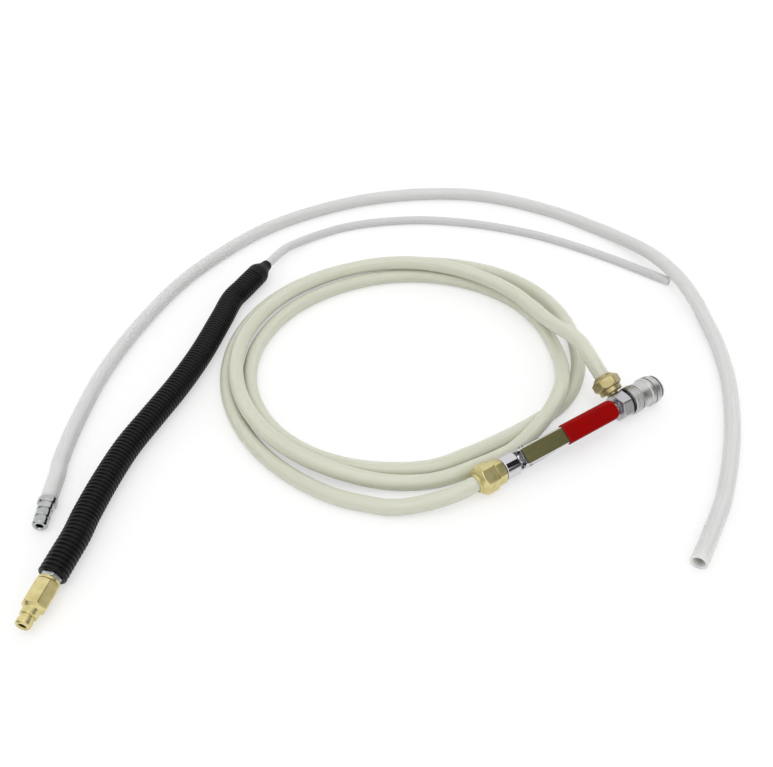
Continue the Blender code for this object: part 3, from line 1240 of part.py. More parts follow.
def coil_hose():
    """The coiled hose, from the tee nut round its turns to the rear nut."""
    tee = COUPLER_START + TEE_STATION
    lead = 2 * HOSE_RADIUS
    first = [valve_point(tee, TEE_REACH - HOSE_DEPTH, 0), valve_point(tee, TEE_REACH, 0),
             valve_point(tee, TEE_REACH + lead, 0)]
    last = [valve_point(-lead, 0, 0), valve_point(0, 0, 0), valve_point(HOSE_DEPTH, 0, 0)]
    angles = [angle for angle, _, _ in COIL_LANES]
    radii = [radius for _, radius, _ in COIL_LANES]
    heights = [height for _, _, height in COIL_LANES]
    turn = []
    count = round((angles[-1] - angles[0]) / 360 * LOOP_POINTS)
    for i in range(count + 1):
        angle = angles[0] + 360 / LOOP_POINTS * i
        angle = min(angle, angles[-1])
        radius = smooth_through(angles, radii, angle)
        height = smooth_through(angles, heights, angle)
        turn.append(COIL_MIDDLE + Vector((radius * math.cos(math.radians(angle)),
                                          radius * math.sin(math.radians(angle)), height)))
    spacing = 5 * HOSE_RADIUS / 2
    lead_in = smooth_route([*first[1:], *COIL_FROM_TEE, turn[0], turn[1]], spacing)
    lead_out = smooth_route([turn[-2], turn[-1], *COIL_TO_NUT, *last[:-1]], spacing)
    near_start = [point for point in lead_in if (point - turn[1]).length > 3 * HOSE_RADIUS]
    near_end = [point for point in lead_out if (point - turn[-2]).length > 3 * HOSE_RADIUS]
    path = settle([first[0], *near_start, *turn[1:-1], *near_end, last[-1]], HOSE_RADIUS)
    least_gap("coil_hose", path, 2 * HOSE_RADIUS)
    print(f"coil_hose: {path_length(path):.3f} m, {len(path)} points")
    return hose("coil_hose", path, HOSE_RADIUS, HOSE_WALL, COIL_RESOLUTION, "pale_hose",
                EDGE_DOWN)


def bake(thing):
    """Keep the evaluated shape as the mesh, smooth but for its real edges."""
    evaluated = thing.evaluated_get(bpy.context.evaluated_depsgraph_get())
    mesh = bpy.data.meshes.new_from_object(evaluated)
    mesh.name = thing.name
    thing.modifiers.clear()
    thing.data = mesh
    mesh.shade_smooth()
    mesh.set_sharp_from_angle(angle=SHARP_ANGLE)


def build():
    axis = frame_at("valve_axis", (STATION_ZERO_X, AXIS_Y, AXIS_Z), (ROLL, 0, 0))
    rear = (0, 0, 0)
    compression_nut("rear_nut", axis, "+X", rear)
    ferrule("rear_ferrule", axis, "+X", rear)
    hose_fitting("rear_fitting", axis, "+X", rear, REAR_HEX_FLATS, REAR_HEX_LENGTH,
                 [(REAR_SPIGOT_LENGTH, REAR_SPIGOT_RADIUS)])
    valve_body(axis)
    valve_inside(axis)
    pivot = frame_at("lever_pivot", (PIN_STATION, 0, PIN_HEIGHT), (0, 0, 0), axis)
    lever(pivot)
    lever_grip(pivot)
    outlet_pipe(axis)
    coupler_body(axis)
    coupler_rings(axis)
    coupler_sleeve(axis)
    poppet(axis)

    tee = (COUPLER_START + TEE_STATION, TEE_REACH, 0)
    compression_nut("tee_nut", axis, "-Y", tee)
    ferrule("tee_ferrule", axis, "-Y", tee)
    hose_fitting("tee_fitting", axis, "-Y", tee, TEE_HEX_FLATS, TEE_HEX_LENGTH,
                 [(TEE_SHOULDER_LENGTH, TEE_SHOULDER_RADIUS),
                  (TEE_PORT_DEPTH, TEE_SPIGOT_RADIUS)])
    coil_hose()

    drain_plug(frame_at("drain_axis", DRAIN_END, (0, 0, DRAIN_HEADING)))
    drain_hose()
    tail_station = probe(frame_at("probe_axis", PROBE_END, (0, 0, PROBE_HEADING)))
    cap_tip = sleeve_cap(frame_at("cap_axis", CAP_END, (0, 0, CAP_HEADING)))
    ribbed_sleeve()
    filler_tube(tail_station, cap_tip)

    bpy.context.view_layer.update()
    for thing in list(PARTS.objects):
        if thing.type == "MESH":
            bake(thing)


build()
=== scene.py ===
# %% [markdown]
# # A transmission fluid exchanger
# A garage changes the oil in an automatic gearbox with this set: a flip-lever valve with a tee
# and a quick coupler, a coiled hose between them, a drain hose with a plug, and a probe for the
# dipstick hole. The solid frame is loaded first, so that every piece has its right place and
# size. Each new piece is then a surface worked out on a grid.

import json
import math

import bmesh
import bpy
import numpy as np
from mathutils import Matrix, Vector


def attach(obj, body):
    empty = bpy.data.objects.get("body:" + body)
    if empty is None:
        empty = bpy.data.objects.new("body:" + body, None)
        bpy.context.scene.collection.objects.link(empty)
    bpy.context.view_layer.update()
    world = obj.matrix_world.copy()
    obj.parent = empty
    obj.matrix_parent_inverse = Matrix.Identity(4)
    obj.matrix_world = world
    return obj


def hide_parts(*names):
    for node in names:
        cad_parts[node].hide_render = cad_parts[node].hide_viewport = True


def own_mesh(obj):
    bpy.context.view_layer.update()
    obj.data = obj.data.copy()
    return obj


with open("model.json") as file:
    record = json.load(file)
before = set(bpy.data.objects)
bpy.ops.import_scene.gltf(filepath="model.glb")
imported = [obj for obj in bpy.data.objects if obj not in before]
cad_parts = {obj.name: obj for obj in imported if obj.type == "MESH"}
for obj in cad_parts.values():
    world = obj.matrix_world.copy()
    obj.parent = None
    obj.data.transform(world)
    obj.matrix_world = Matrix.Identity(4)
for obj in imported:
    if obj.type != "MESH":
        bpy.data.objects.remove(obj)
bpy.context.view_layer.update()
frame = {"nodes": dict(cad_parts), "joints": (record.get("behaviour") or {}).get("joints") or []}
NODES = frame["nodes"]

# %% [markdown]
# ## The camera
# The photo looks down at the set from the left and the front. Place and lens were solved from
# points that can be recognised on the pieces. A camera looks along its own minus Z with Y up, so
# its matrix has its right, its up and its backward direction as columns.

# %% Camera
def in_scene(name, data):
    """A new object with this data, in the scene."""
    thing = bpy.data.objects.new(name, data)
    bpy.context.scene.collection.objects.link(thing)
    return thing


RIGHT = Vector((0.8303, -0.5573, 0.0)).normalized()
FORWARD = Vector((0.4076, 0.6072, -0.6820)).normalized()
UP = RIGHT.cross(FORWARD).normalized()

camera_data = bpy.data.cameras.new("photo_camera")
camera_data.sensor_fit = "HORIZONTAL"
camera_data.sensor_width = 36.0
camera_data.lens = 40.98
camera_data.clip_start = 0.01
camera = in_scene("photo_camera", camera_data)
camera.matrix_world = Matrix.Translation((-0.3722, -0.3142, 0.4930)) @ Matrix(
    (RIGHT, UP, -FORWARD)).transposed().to_4x4()
bpy.context.scene.camera = camera
bpy.context.scene.view_settings.view_transform = "Standard"
print("camera at", [round(v, 3) for v in camera.location], "lens", camera_data.lens)

# %% [markdown]
# ## A smooth route
# A hose is springy, so it never has a corner. A few points say where it lies, and cubics between
# them, with one shared slope at each point, give the bends. One search finds each point's
# stretch, and the cubic is worked out for all of them at once.

# %% Smooth curve through points
def smooth_through(keys, values, at):
    """Cubic through (key, value) pairs. In each stretch, with t from 0 to 1 along it, the value is
    v0 (2t^3 - 3t^2 + 1) + s0 (t^3 - 2t^2 + t) + v1 (3t^2 - 2t^3) + s1 (t^3 - t^2), where a slope s
    is the step between the two neighbours over the distance between their keys."""
    keys = np.asarray(keys, float)
    values = np.asarray(values, float).reshape(len(keys), -1)
    own = np.arange(len(keys))
    low, high = np.maximum(own - 1, 0), np.minimum(own + 1, len(keys) - 1)
    slopes = (values[high] - values[low]) / (keys[high] - keys[low])[:, None]
    i = np.clip(np.searchsorted(keys, at) - 1, 0, len(keys) - 2)
    span = (keys[i + 1] - keys[i])[:, None]
    t = (np.asarray(at) - keys[i])[:, None] / span
    return (values[i] * (2 * t**3 - 3 * t**2 + 1) + slopes[i] * span * (t**3 - 2 * t**2 + t)
            + values[i + 1] * (3 * t**2 - 2 * t**3) + slopes[i + 1] * span * (t**3 - t**2))


# %% Even points along a route
def lengths(vectors):
    """The length of each row, as a column."""
    return np.linalg.norm(vectors, axis=1, keepdims=True)


def run_along(points):
    """Distance from the first point to each one, along the straight pieces between them."""
    return np.concatenate([[0.0], np.cumsum(lengths(np.diff(points, axis=0)))])


def read_at(at, run, values):
    """The row at each distance along a run, straight between the rows that are known."""
    return np.stack([np.interp(at, run, column) for column in values.T], axis=1)


def smooth_route(points, step, lowest=0.0):
    """Even points, about a step apart, on the smooth curve through a route's own points. The
    middle of a hose that lies on the surface is never lower than the hose's radius."""
    points = np.asarray(points, float)
    keys = run_along(points)
    fine = smooth_through(keys, points, np.linspace(0, keys[-1], 40 * len(points) + 1))
    run = run_along(fine)
    even = np.linspace(0, run[-1], max(2, round(run[-1] / step)) + 1)
    route = read_at(even, run, fine)
    route[:, 2] = np.maximum(route[:, 2], lowest)
    return route


# %% [markdown]
# ## Where the pieces stand
# Every turned piece has a line to turn about. The valve's runs along X, and the valve lies rolled
# by 30 degrees about it. The tee's branch leaves it square to that axis. Each loose assembly
# starts at one point and lies in one direction on the surface. An axis keeps its start, its
# direction and two side directions, which with it make a right-handed set. The scene is in
# metres, tables of points and outlines are in millimetres, as on a drawing.

# %% Axes of the four assemblies
def mm(values):
    """Millimetres to metres."""
    return np.asarray(values, float) / 1000


def axis_from(start, along, side):
    """An axis: its start, its direction, and two unit vectors square to it."""
    along, side = np.asarray(along, float), np.asarray(side, float)
    return np.asarray(start, float), along, side, np.cross(along, side)


def heading_axis(start, degrees):
    """A level axis, turned by so many degrees from X."""
    x, y = math.cos(math.radians(degrees)), math.sin(math.radians(degrees))
    return axis_from(start, (x, y, 0), (-y, x, 0))


def on_axis(axis, station, side=0.0):
    """A point at a station along an axis, moved along its first side direction."""
    start, along, first, _ = axis
    return start + along * station + first * side


ROLL = math.radians(30)
VALVE = axis_from((-0.09075, -0.008413, 0.01165), (1, 0, 0), (0, math.cos(ROLL), math.sin(ROLL)))
TEE_STATION, TEE_REACH = 0.1435, 0.0302
TEE = axis_from(on_axis(VALVE, TEE_STATION, TEE_REACH), -VALVE[2], (1, 0, 0))
DRAIN = heading_axis((-0.3482, 0.1515, 0.0070), 236.7)
PROBE = heading_axis((-0.3675, 0.0842, 0.0100), 223.5)
CAP = heading_axis((-0.1070, 0.3020, 0.0100), 30.3)
print("tee nut's mouth at", np.round(TEE[0], 4))

# %% [markdown]
# ## Routes of the hoses
# The routes are those of the frame's own hoses. The coil is a table: at each angle round it, how
# far out and how high the hose lies, since the turns cross each other. Its ends rise into the tee
# and run straight into the rear nut. The drain hose and the thin tube are lists of points.

# %% Sizes of the hoses
HOSE_RADIUS, HOSE_WALL = 0.006, 0.00175
TUBE_RADIUS, TUBE_WALL = 0.004, 0.0011
NUT_DEPTH = 0.0095            # how far the hose reaches into a compression nut
HOSE_STEP, LEAD_STEP, SLEEVE_STEP, TUBE_STEP = 0.0025, 0.015, 0.0015, 0.002
print(f"hoses {2000 * HOSE_RADIUS:.0f} mm wide, tube {2000 * TUBE_RADIUS:.0f} mm")

# %% Route of the coiled hose
COIL_MIDDLE = np.array([-0.054, 0.131, 0.0])
COIL_LANES = np.array([
    (-10, 126.5, 18.8), (10, 125.5, 18.4), (30, 125, 18.6), (50, 126.2, 18.4), (70, 129.2, 16.2),
    (90, 132, 14), (120, 136, 14.6), (150, 139, 16.5), (180, 138.8, 15.6), (200, 136.2, 13.6),
    (215, 133.6, 11), (232, 130.9, 6.6), (241, 129.8, 6), (248, 128.8, 6), (254, 127.6, 6),
    (260, 125, 6), (267, 124.6, 6), (273, 125.4, 6.2), (279, 126.6, 8), (285, 127.7, 11.8),
    (291, 128.3, 16.2), (298, 128.5, 18.7), (305, 128.3, 18.8), (312, 127.9, 16.4),
    (320, 127.6, 12.2), (332, 127.8, 6.8), (345, 129, 6), (370, 129.5, 6), (390, 126, 6),
    (410, 123.2, 6), (430, 121.2, 6), (450, 120.8, 6), (480, 124.8, 6), (510, 128.8, 6),
    (540, 128.8, 6), (560, 125.6, 6), (575, 122, 6), (592, 118.2, 6), (601, 117, 6),
    (608, 116, 6), (614, 114.8, 6), (620, 112.2, 6), (627, 111.8, 6), (633, 112.6, 6),
    (639, 114, 6), (645, 116.4, 6), (651, 120.6, 6), (658, 126.6, 6), (665, 132.2, 6),
    (672, 137.2, 6), (680, 141, 6), (700, 148.4, 6), (715, 153, 6), (727, 154.5, 6),
    (740, 153, 6), (755, 148.2, 6), (770, 143.6, 6), (790, 142.4, 6), (810, 143.4, 6),
    (840, 145.8, 6), (870, 147.2, 6), (900, 148.2, 6), (920, 150, 6), (935, 152.4, 6),
    (950, 153.8, 6.2)]) / (1, 1000, 1000)
COIL_FROM_TEE = mm([
    (55.6, 40, 35.2), (59, 52, 34.2), (62.2, 64.5, 30.6), (65.2, 77.5, 25.6), (68.2, 91.2, 21.2)])
COIL_TO_NUT = mm([(-135, 2.2, 7.8), (-120, -4.5, 10.2)])


def coil_turns(step_degrees):
    """Points round the coil: the middle, plus radius times (cos, sin) of the angle, and height."""
    angles = COIL_LANES[:, 0]
    at = np.arange(angles[0], angles[-1] + 0.01, step_degrees)
    radius, height = smooth_through(angles, COIL_LANES[:, 1:], at).T
    turn = np.radians(at)
    return COIL_MIDDLE + np.stack([radius * np.cos(turn), radius * np.sin(turn), height], axis=1)


def clear_of(points, place):
    """The points that are more than three radii of the hose away from a place."""
    return points[lengths(points - place)[:, 0] > 3 * HOSE_RADIUS]


turns = coil_turns(15)
lead_in = smooth_route([on_axis(TEE, 0), on_axis(TEE, -2 * HOSE_RADIUS), *COIL_FROM_TEE,
                        *turns[:2]], LEAD_STEP)
lead_out = smooth_route([*turns[-2:], *COIL_TO_NUT, on_axis(VALVE, -2 * HOSE_RADIUS),
                         on_axis(VALVE, 0)], LEAD_STEP)
COIL_PATH = smooth_route([on_axis(TEE, NUT_DEPTH), *clear_of(lead_in, turns[1]), *turns[1:-1],
                          *clear_of(lead_out, turns[-2]), on_axis(VALVE, NUT_DEPTH)],
                         HOSE_STEP, HOSE_RADIUS)

# %% Route of the drain hose
DRAIN_ROUTE = mm([(-329.4, 183, 6.2), (-307, 214, 6), (-267, 260, 6), (-218, 302, 6),
                  (-162, 339, 6), (-109, 361, 6), (-55, 374.5, 6), (0, 375.5, 6), (59, 365, 6),
                  (116, 340, 6), (165, 302, 6), (202, 244, 6), (221, 188, 6.4), (226, 146, 9.6),
                  (223, 117, 13.5), (216, 84, 14.5), (206, 54, 12), (194, 28, 8.1), (178, 0, 6.1),
                  (148, -37, 6), (107, -75, 6), (55, -112, 6), (21, -129.5, 6), (-6, -142, 6)])
STRAIGHT_AT_PLUG = 0.0148     # the drain hose leaves its plug straight
DRAIN_PATH = smooth_route([DRAIN[0], on_axis(DRAIN, -STRAIGHT_AT_PLUG),
                           on_axis(DRAIN, -4 * HOSE_RADIUS), *DRAIN_ROUTE], HOSE_STEP, HOSE_RADIUS)
DRAIN_LENGTH = run_along(DRAIN_PATH)[-1]

# %% Route of the corrugated sleeve
STRAIGHT_END = 0.017          # it leaves both its fittings straight, too
SLEEVE_MIDDLE = mm([
    (-331, 121, 10), (-308, 144, 10), (-283, 166, 10), (-254, 186.2, 10), (-223, 207.5, 10),
    (-191, 233.2, 10), (-156, 266, 10)])
SLEEVE_ROUTE = [on_axis(PROBE, -STRAIGHT_END), on_axis(PROBE, -2 * STRAIGHT_END), *SLEEVE_MIDDLE,
                on_axis(CAP, -2 * STRAIGHT_END), on_axis(CAP, -STRAIGHT_END)]
SLEEVE_PATH = smooth_route([PROBE[0], *SLEEVE_ROUTE, CAP[0]], SLEEVE_STEP)
SLEEVE_LENGTH = run_along(SLEEVE_PATH)[-1]

# %% Route of the thin tube
TUBE_DEPTH, CAP_TIP = 0.0115, 0.0253    # past the sleeve, into the plug and to the cap's tip
TUBE_ROUTE = mm([(-56, 331.2, 7.8), (-34, 336.5, 5.6), (-12, 338.2, 4.4), (15, 335.5, 4),
                 (49, 323.8, 4), (85, 304, 4), (116, 278, 4), (143, 248, 4), (166, 215, 4),
                 (184, 179, 4), (199, 142, 4), (208, 115, 4), (216, 90, 4)])
TUBE_PATH = smooth_route([on_axis(PROBE, -TUBE_DEPTH), *SLEEVE_ROUTE, CAP[0],
                          on_axis(CAP, CAP_TIP), on_axis(CAP, CAP_TIP + TUBE_RADIUS),
                          *TUBE_ROUTE], TUBE_STEP, TUBE_RADIUS)
TUBE_LENGTH = run_along(TUBE_PATH)[-1]
for label, length in (("drain hose", DRAIN_LENGTH), ("corrugated sleeve", SLEEVE_LENGTH),
                      ("thin tube", TUBE_LENGTH)):
    print(f"{label}: {length:.3f} m")

# %% [markdown]
# ## A profile carried along a line
# A nut, a hose and a corrugated sleeve are one kind of surface: an outline of (station, radius)
# pairs, carried along a line and round it. It runs forward along the outside and back along the
# bore, so the surface closes and its wall is real. A line gives a point and two side directions
# for each station: straight for metal, the hose's own route for a hose.

# %% Straight lines and routes
def straight(axis):
    """A line that runs straight along an axis, also past its start."""
    start, along, first, second = axis

    def read(station):
        ones = np.ones((len(station), 1))
        return start + station[:, None] * along, ones * first, ones * second
    return read


def along_route(route):
    """A line through a route's points. At each one the first side direction lies level, square to
    the way the route runs, and the second is square to both."""
    run = run_along(route)
    ahead = np.gradient(route, axis=0)
    ahead /= lengths(ahead)
    level = np.cross((0.0, 0.0, 1.0), ahead)
    level /= lengths(level)
    above = np.cross(ahead, level)

    def read(station):
        return tuple(read_at(station, run, values) for values in (route, level, above))
    return read


# %% Carry a profile along a line
def once_round(sides):
    """Even angles that go once round, the last one short of the first."""
    return np.arange(sides) * 2 * math.pi / sides


def carried(line, profile, sides, shape=None):
    """Point(i, k) = line(s_i) + R(i, k) (cos a_k first + sin a_k second). Here s_i and r_i are the
    profile's station and radius, a_k goes evenly once round, and R is r_i unless shape changes
    it. Also gives each point's own place in millimetres: station, and the two side distances."""
    station, radius = profile.T
    turn = once_round(sides)
    reach = np.repeat(radius[:, None], sides, axis=1)
    if shape:
        reach = shape(station[:, None], turn[None, :], reach)
    middle, first, second = line(station)
    across, up = reach * np.cos(turn), reach * np.sin(turn)
    points = middle[:, None] + across[..., None] * first[:, None] + up[..., None] * second[:, None]
    own = np.stack(np.broadcast_arrays(station[:, None], across, up), axis=-1) * 1000
    return points, own


# %% [markdown]
# ## From a grid to an object
# Rows and columns of the grid become four-sided faces. Columns join up round the piece, and rows
# too where the outline is closed. Where it starts and ends on the line itself, as on a solid rod,
# the points that fall together are merged into a pole. Each point carries its own place on the
# piece, so that turning lines and streaks follow the piece.

# %% Build a mesh from a grid
def grid_object(name, points, own, material, closed=True, sharp=50):
    """Faces join each grid point to the next in its row and in its column, turned outwards."""
    rows, sides = points.shape[:2]
    i = np.arange(rows if closed else rows - 1)[:, None]
    k = np.arange(sides)[None, :]
    after, beside = (i + 1) % rows, (k + 1) % sides
    faces = np.stack([i * sides + k, i * sides + beside, after * sides + beside,
                      after * sides + k], axis=-1).reshape(-1, 4)
    mesh = bpy.data.meshes.new(name)
    mesh.from_pydata(points.reshape(-1, 3).tolist(), [], faces.tolist())
    place = mesh.attributes.new("own_place", "FLOAT_VECTOR", "POINT")
    place.data.foreach_set("vector", own.ravel())
    if not closed:
        work = bmesh.new()
        work.from_mesh(mesh)
        bmesh.ops.remove_doubles(work, verts=work.verts, dist=1e-7)
        work.to_mesh(mesh)
        work.free()
    mesh.shade_smooth()
    mesh.set_sharp_from_angle(angle=math.radians(sharp))
    if material:
        mesh.materials.append(material)
        print(f"{name}: {len(mesh.polygons)} faces")
    return in_scene(name, mesh)


# %% [markdown]
# ## Colours and materials
# Colours are written as the eye sees them, in hex, and turned to the linear values that light is
# counted in. Every material is a Principled shader, fed by patterns. The patterns are measured in
# millimetres: on the new pieces from the place that each point carries, on the frame's own nodes
# from the object's coordinates, scaled from metres. A noise's patches are then about 1 / Scale
# millimetres wide. One function adds a node with its settings and links, whatever its kind.

# %% Hex colours
def colour(hexcode):
    """sRGB to linear: c/12.92 up to 0.04045, else ((c + 0.055)/1.055)^2.4."""
    part = np.array([int(hexcode[i:i + 2], 16) for i in (1, 3, 5)]) / 255
    linear = np.where(part <= 0.04045, part / 12.92, ((part + 0.055) / 1.055) ** 2.4)
    return (*linear.tolist(), 1.0)


# %% Add a node and feed its inputs
def feed(node, inputs):
    """Link each input to a given output, or to a given node's first output, or set it to a plain
    value or a hex colour."""
    for socket, value in inputs.items():
        if isinstance(value, bpy.types.Node):
            value = value.outputs[0]
        if isinstance(value, bpy.types.NodeSocket):
            node.id_data.links.new(value, node.inputs[socket])
        else:
            node.inputs[socket].default_value = colour(value) if isinstance(value, str) else value


def add(tree, kind, inputs=None, **settings):
    """Add one shader node with its settings and inputs."""
    made = tree.nodes.new("ShaderNode" + kind)
    for setting, value in settings.items():
        setattr(made, setting, value)
    feed(made, inputs or {})
    return made


# %% Start a material
def new_material(name):
    """A fresh material: its tree and its Principled shader."""
    material = bpy.data.materials.new(name)
    material.use_nodes = True
    tree = material.node_tree
    return material, tree, tree.nodes["Principled BSDF"]


def place_in_mm(tree, on_node=False, stretch=(1, 1, 1)):
    """Coordinates in millimetres, each axis then multiplied by stretch."""
    if on_node:
        source = add(tree, "TexCoord").outputs["Object"]
        stretch = tuple(1000 * s for s in stretch)
    else:
        source = add(tree, "Attribute", attribute_name="own_place").outputs["Vector"]
    return add(tree, "Mapping", {"Vector": source, "Scale": stretch})


# %% [markdown]
# ## Clear hose
# The hoses are extruded from soft PVC: clear in thin sheet, milky at this wall, the coiled one a
# little yellow with age. Light goes in, spreads below the surface and comes out close by, so a
# hose is pale all over, with soft shadows. The die leaves faint streaks along it: noise 2 mm
# wide, stretched to 60 times that along the hose.

# %% Milky PVC
def milky_pvc(name, pale, deep):
    """PVC that light goes into, pale with deeper streaks and clouds."""
    material, tree, shader = new_material(name)
    streak = add(tree, "TexNoise", {"Vector": place_in_mm(tree, stretch=(0.008, 0.5, 0.5)),
                                    "Scale": 1.0, "Detail": 1.0, "Roughness": 0.4})
    cloud = add(tree, "TexNoise", {"Vector": place_in_mm(tree, stretch=(0.004, 0.14, 0.14)),
                                   "Scale": 1.0})
    both = add(tree, "Math", {0: streak, 1: cloud}, operation="ADD")
    share = add(tree, "MapRange", {"Value": both, "From Min": 0.7, "From Max": 1.3})
    feed(shader, {
        "Base Color": add(tree, "Mix", {0: share, 6: pale, 7: deep}, data_type="RGBA").outputs[2],
        "Roughness": add(tree, "MapRange", {"Value": cloud, "To Min": 0.2, "To Max": 0.34}),
        "Normal": add(tree, "Bump", {"Height": streak, "Strength": 0.05, "Distance": 0.0001}),
        "IOR": 1.53, "Subsurface Weight": 0.9, "Subsurface Radius": (1.0, 1.0, 0.9),
        "Subsurface Scale": 0.0045})
    return material


PALE_PVC = milky_pvc("milky_pvc_yellowed", "#DBDCCA", "#D3D4C1")
CLEAR_PVC = milky_pvc("milky_pvc_clear", "#E0E0DE", "#D9D9D7")
print("hose materials:", PALE_PVC.name, "and", CLEAR_PVC.name)

# %% [markdown]
# ## The hoses themselves
# A hose is a ring of wall carried along its route: forward along the outside, over a slightly
# rounded rim, and back along the bore. The stations are 3 mm apart, close enough for the bends.
# Each piece hides the frame's solid that it stands for and rides with its body.

# %% Outline of a hose
def pairs(station, radius):
    """(station, radius) rows. A single radius goes with every station."""
    return np.stack(np.broadcast_arrays(station, radius), axis=1)


def hose_profile(length, radius, wall, step=0.003, rim=0.0003):
    """Outside forward, rim, bore backward, rim: a closed outline of (station, radius)."""
    station = np.linspace(rim, length - rim, max(2, round(length / step)))
    bore = radius - wall
    return np.concatenate([pairs(station, radius), [(length, radius - rim), (length, bore + rim)],
                           pairs(station[::-1], bore), [(0, bore + rim), (0, radius - rim)]])


# %% Three hoses
def stands_for(thing, slot, *nodes, body="valve_and_hoses"):
    """Ride with a body and hide the frame's nodes that this piece stands for. slot is not used."""
    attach(thing, body)
    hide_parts(*nodes)
    return thing


HOSE_SIDES = 28


def hose(name, route, radius, wall, material, node, slot):
    """A hose along a whole route, in a node's place."""
    profile = hose_profile(run_along(route)[-1], radius, wall)
    grid = carried(along_route(route), profile, HOSE_SIDES)
    return stands_for(grid_object(name, *grid, material), slot, node)


coil = hose("coiled_hose", COIL_PATH, HOSE_RADIUS, HOSE_WALL, PALE_PVC, "coil_hose", "pale_hose")
drain = hose("long_drain_hose", DRAIN_PATH, HOSE_RADIUS, HOSE_WALL, CLEAR_PVC, "drain_hose",
             "clear_hose")
tube = hose("thin_tube", TUBE_PATH, TUBE_RADIUS, TUBE_WALL, CLEAR_PVC, "filler_tube", "clear_hose")

# %% [markdown]
# ## Corrugated sleeve
# A black corrugated sleeve, as over car wiring, armours the thin tube's first part. It is
# polypropylene, blown against a chain of ring moulds, so its ribs are even, with flat tops and
# narrower valleys. The radius is a cosine of the station, pushed towards its two ends by a tanh.
# With 12 stations a rib, the ribs are in the mesh and show in outline.

# %% Ribbed outline
CREST, ROOT, SLEEVE_BORE = 0.0099, 0.0086, 0.0072
RIBS, STATIONS_A_RIB, BORE_STATIONS, SLEEVE_SIDES = 104, 12, 120, 48


def ribbed_profile(length):
    """Radius = middle + half height tanh(2.2 w)/tanh(2.2), where w = 0.2 - cos(2 pi s/pitch) at
    station s, so the tops come out wider than the valleys. The bore runs back plain."""
    station = np.linspace(0, length, STATIONS_A_RIB * RIBS + 1)
    wave = 0.2 - np.cos(2 * math.pi * RIBS * station / length)
    share = (np.tanh(2.2 * wave) / np.tanh(2.2) + 1) / 2
    return np.concatenate([pairs(station, ROOT + (CREST - ROOT) * share),
                           pairs(np.linspace(length, 0, BORE_STATIONS), SLEEVE_BORE)])


# %% Black plastic and rubber
def moulded_black(name, base, roughness, grain_mm, on_node=False):
    """Black moulded plastic or rubber: nearly black, a little uneven in gloss, fine grain."""
    material, tree, shader = new_material(name)
    place = place_in_mm(tree, on_node)
    patch = add(tree, "TexNoise", {"Vector": place, "Scale": 0.12, "Detail": 4.0})
    grain = add(tree, "TexNoise", {"Vector": place, "Scale": 1 / grain_mm})
    shade = add(tree, "Mix", {0: patch, 6: base, 7: "#0C0C0D"}, data_type="RGBA")
    gloss = {"Value": patch, "To Min": roughness - 0.1, "To Max": roughness + 0.12}
    feed(shader, {
        "Base Color": shade.outputs[2], "Roughness": add(tree, "MapRange", gloss),
        "Normal": add(tree, "Bump", {"Height": grain, "Strength": 0.25, "Distance": 0.00005}),
        "Specular IOR Level": 0.2})
    return material


BLACK_PLASTIC = moulded_black("moulded_polypropylene", "#040405", 0.26, 0.5)
BLACK_RUBBER = moulded_black("nitrile_rubber", "#08080A", 0.5, 0.35)
BLACK_RUBBER_NODE = moulded_black("nitrile_rubber_on_frame", "#08080A", 0.5, 0.35, True)
print("black:", BLACK_PLASTIC.name, "and", BLACK_RUBBER.name)

# %% Corrugated sleeve
sleeve_grid = carried(along_route(SLEEVE_PATH), ribbed_profile(SLEEVE_LENGTH), SLEEVE_SIDES)
sleeve_cover = stands_for(grid_object("corrugated_sleeve", *sleeve_grid, BLACK_PLASTIC, sharp=80),
                          "black_plastic", "ribbed_sleeve")

# %% [markdown]
# ## Turned outlines
# Nuts, plugs and valve bodies are turned from bar. Their corners are never knife edges: the tool
# and the deburring leave a radius of a tenth of a millimetre or two, which catches the light. So
# each corner of an outline becomes a small curve, with one row just before and after it, which
# keeps the flats shading flat.

# %% Soft corners and steps
def softened(points, radius):
    """Each corner P becomes the curve (1-t)^2 A + 2t(1-t) P + t^2 B, where A and B lie on its two
    sides, a radius away or three tenths of the side's length if that is less."""
    back, ahead = np.roll(points, 1, axis=0) - points, np.roll(points, -1, axis=0) - points
    reach = np.minimum(radius, 0.3 * np.minimum(lengths(back), lengths(ahead)))
    back, ahead = back / lengths(back), ahead / lengths(ahead)
    t = np.linspace(0, 1, 5)[None, :, None]
    bend = ((1 - t)**2 * (points + back * reach)[:, None] + 2 * t * (1 - t) * points[:, None]
            + t**2 * (points + ahead * reach)[:, None])
    before, after = points + 1.6 * reach * back, points + 1.6 * reach * ahead
    return np.concatenate([before[:, None], bend, after[:, None]], axis=1).reshape(-1, 2)


def filled(profile, step=0.00035):
    """The same closed outline with no two points further apart than a step."""
    closed = np.concatenate([profile, profile[:1]])
    run = run_along(closed)
    at = np.unique(np.concatenate([run, np.arange(0, run[-1], step)]))[:-1]
    return read_at(at, run, closed)


def stepped(*turns):
    """Plain steps, from stations and radii in turn: each radius holds between its two stations."""
    return [(turns[j], turns[i]) for i in range(1, len(turns), 2) for j in (i - 1, i + 1)]


def outline(outer, bore):
    """Outside from back to front, then the bore from front to back."""
    return [*outer, *reversed(bore)]


# %% Hexagons
def six_sided(flats, corner):
    """A hexagon's radius is half its flats over cos(angle from the flat's middle). The piece takes
    the smaller of that and its turned radius: (r^-80 + h^-80)^(-1/80) is the smaller one with its
    edge slightly rounded. A corner points at the given angle."""
    def shape(station, turn, reach):
        from_flat = (turn - corner) % (math.pi / 3) - math.pi / 6
        flat = mm(flats) / 2 / np.cos(from_flat)
        return (reach ** -80 + flat ** -80) ** (-1 / 80)
    return shape


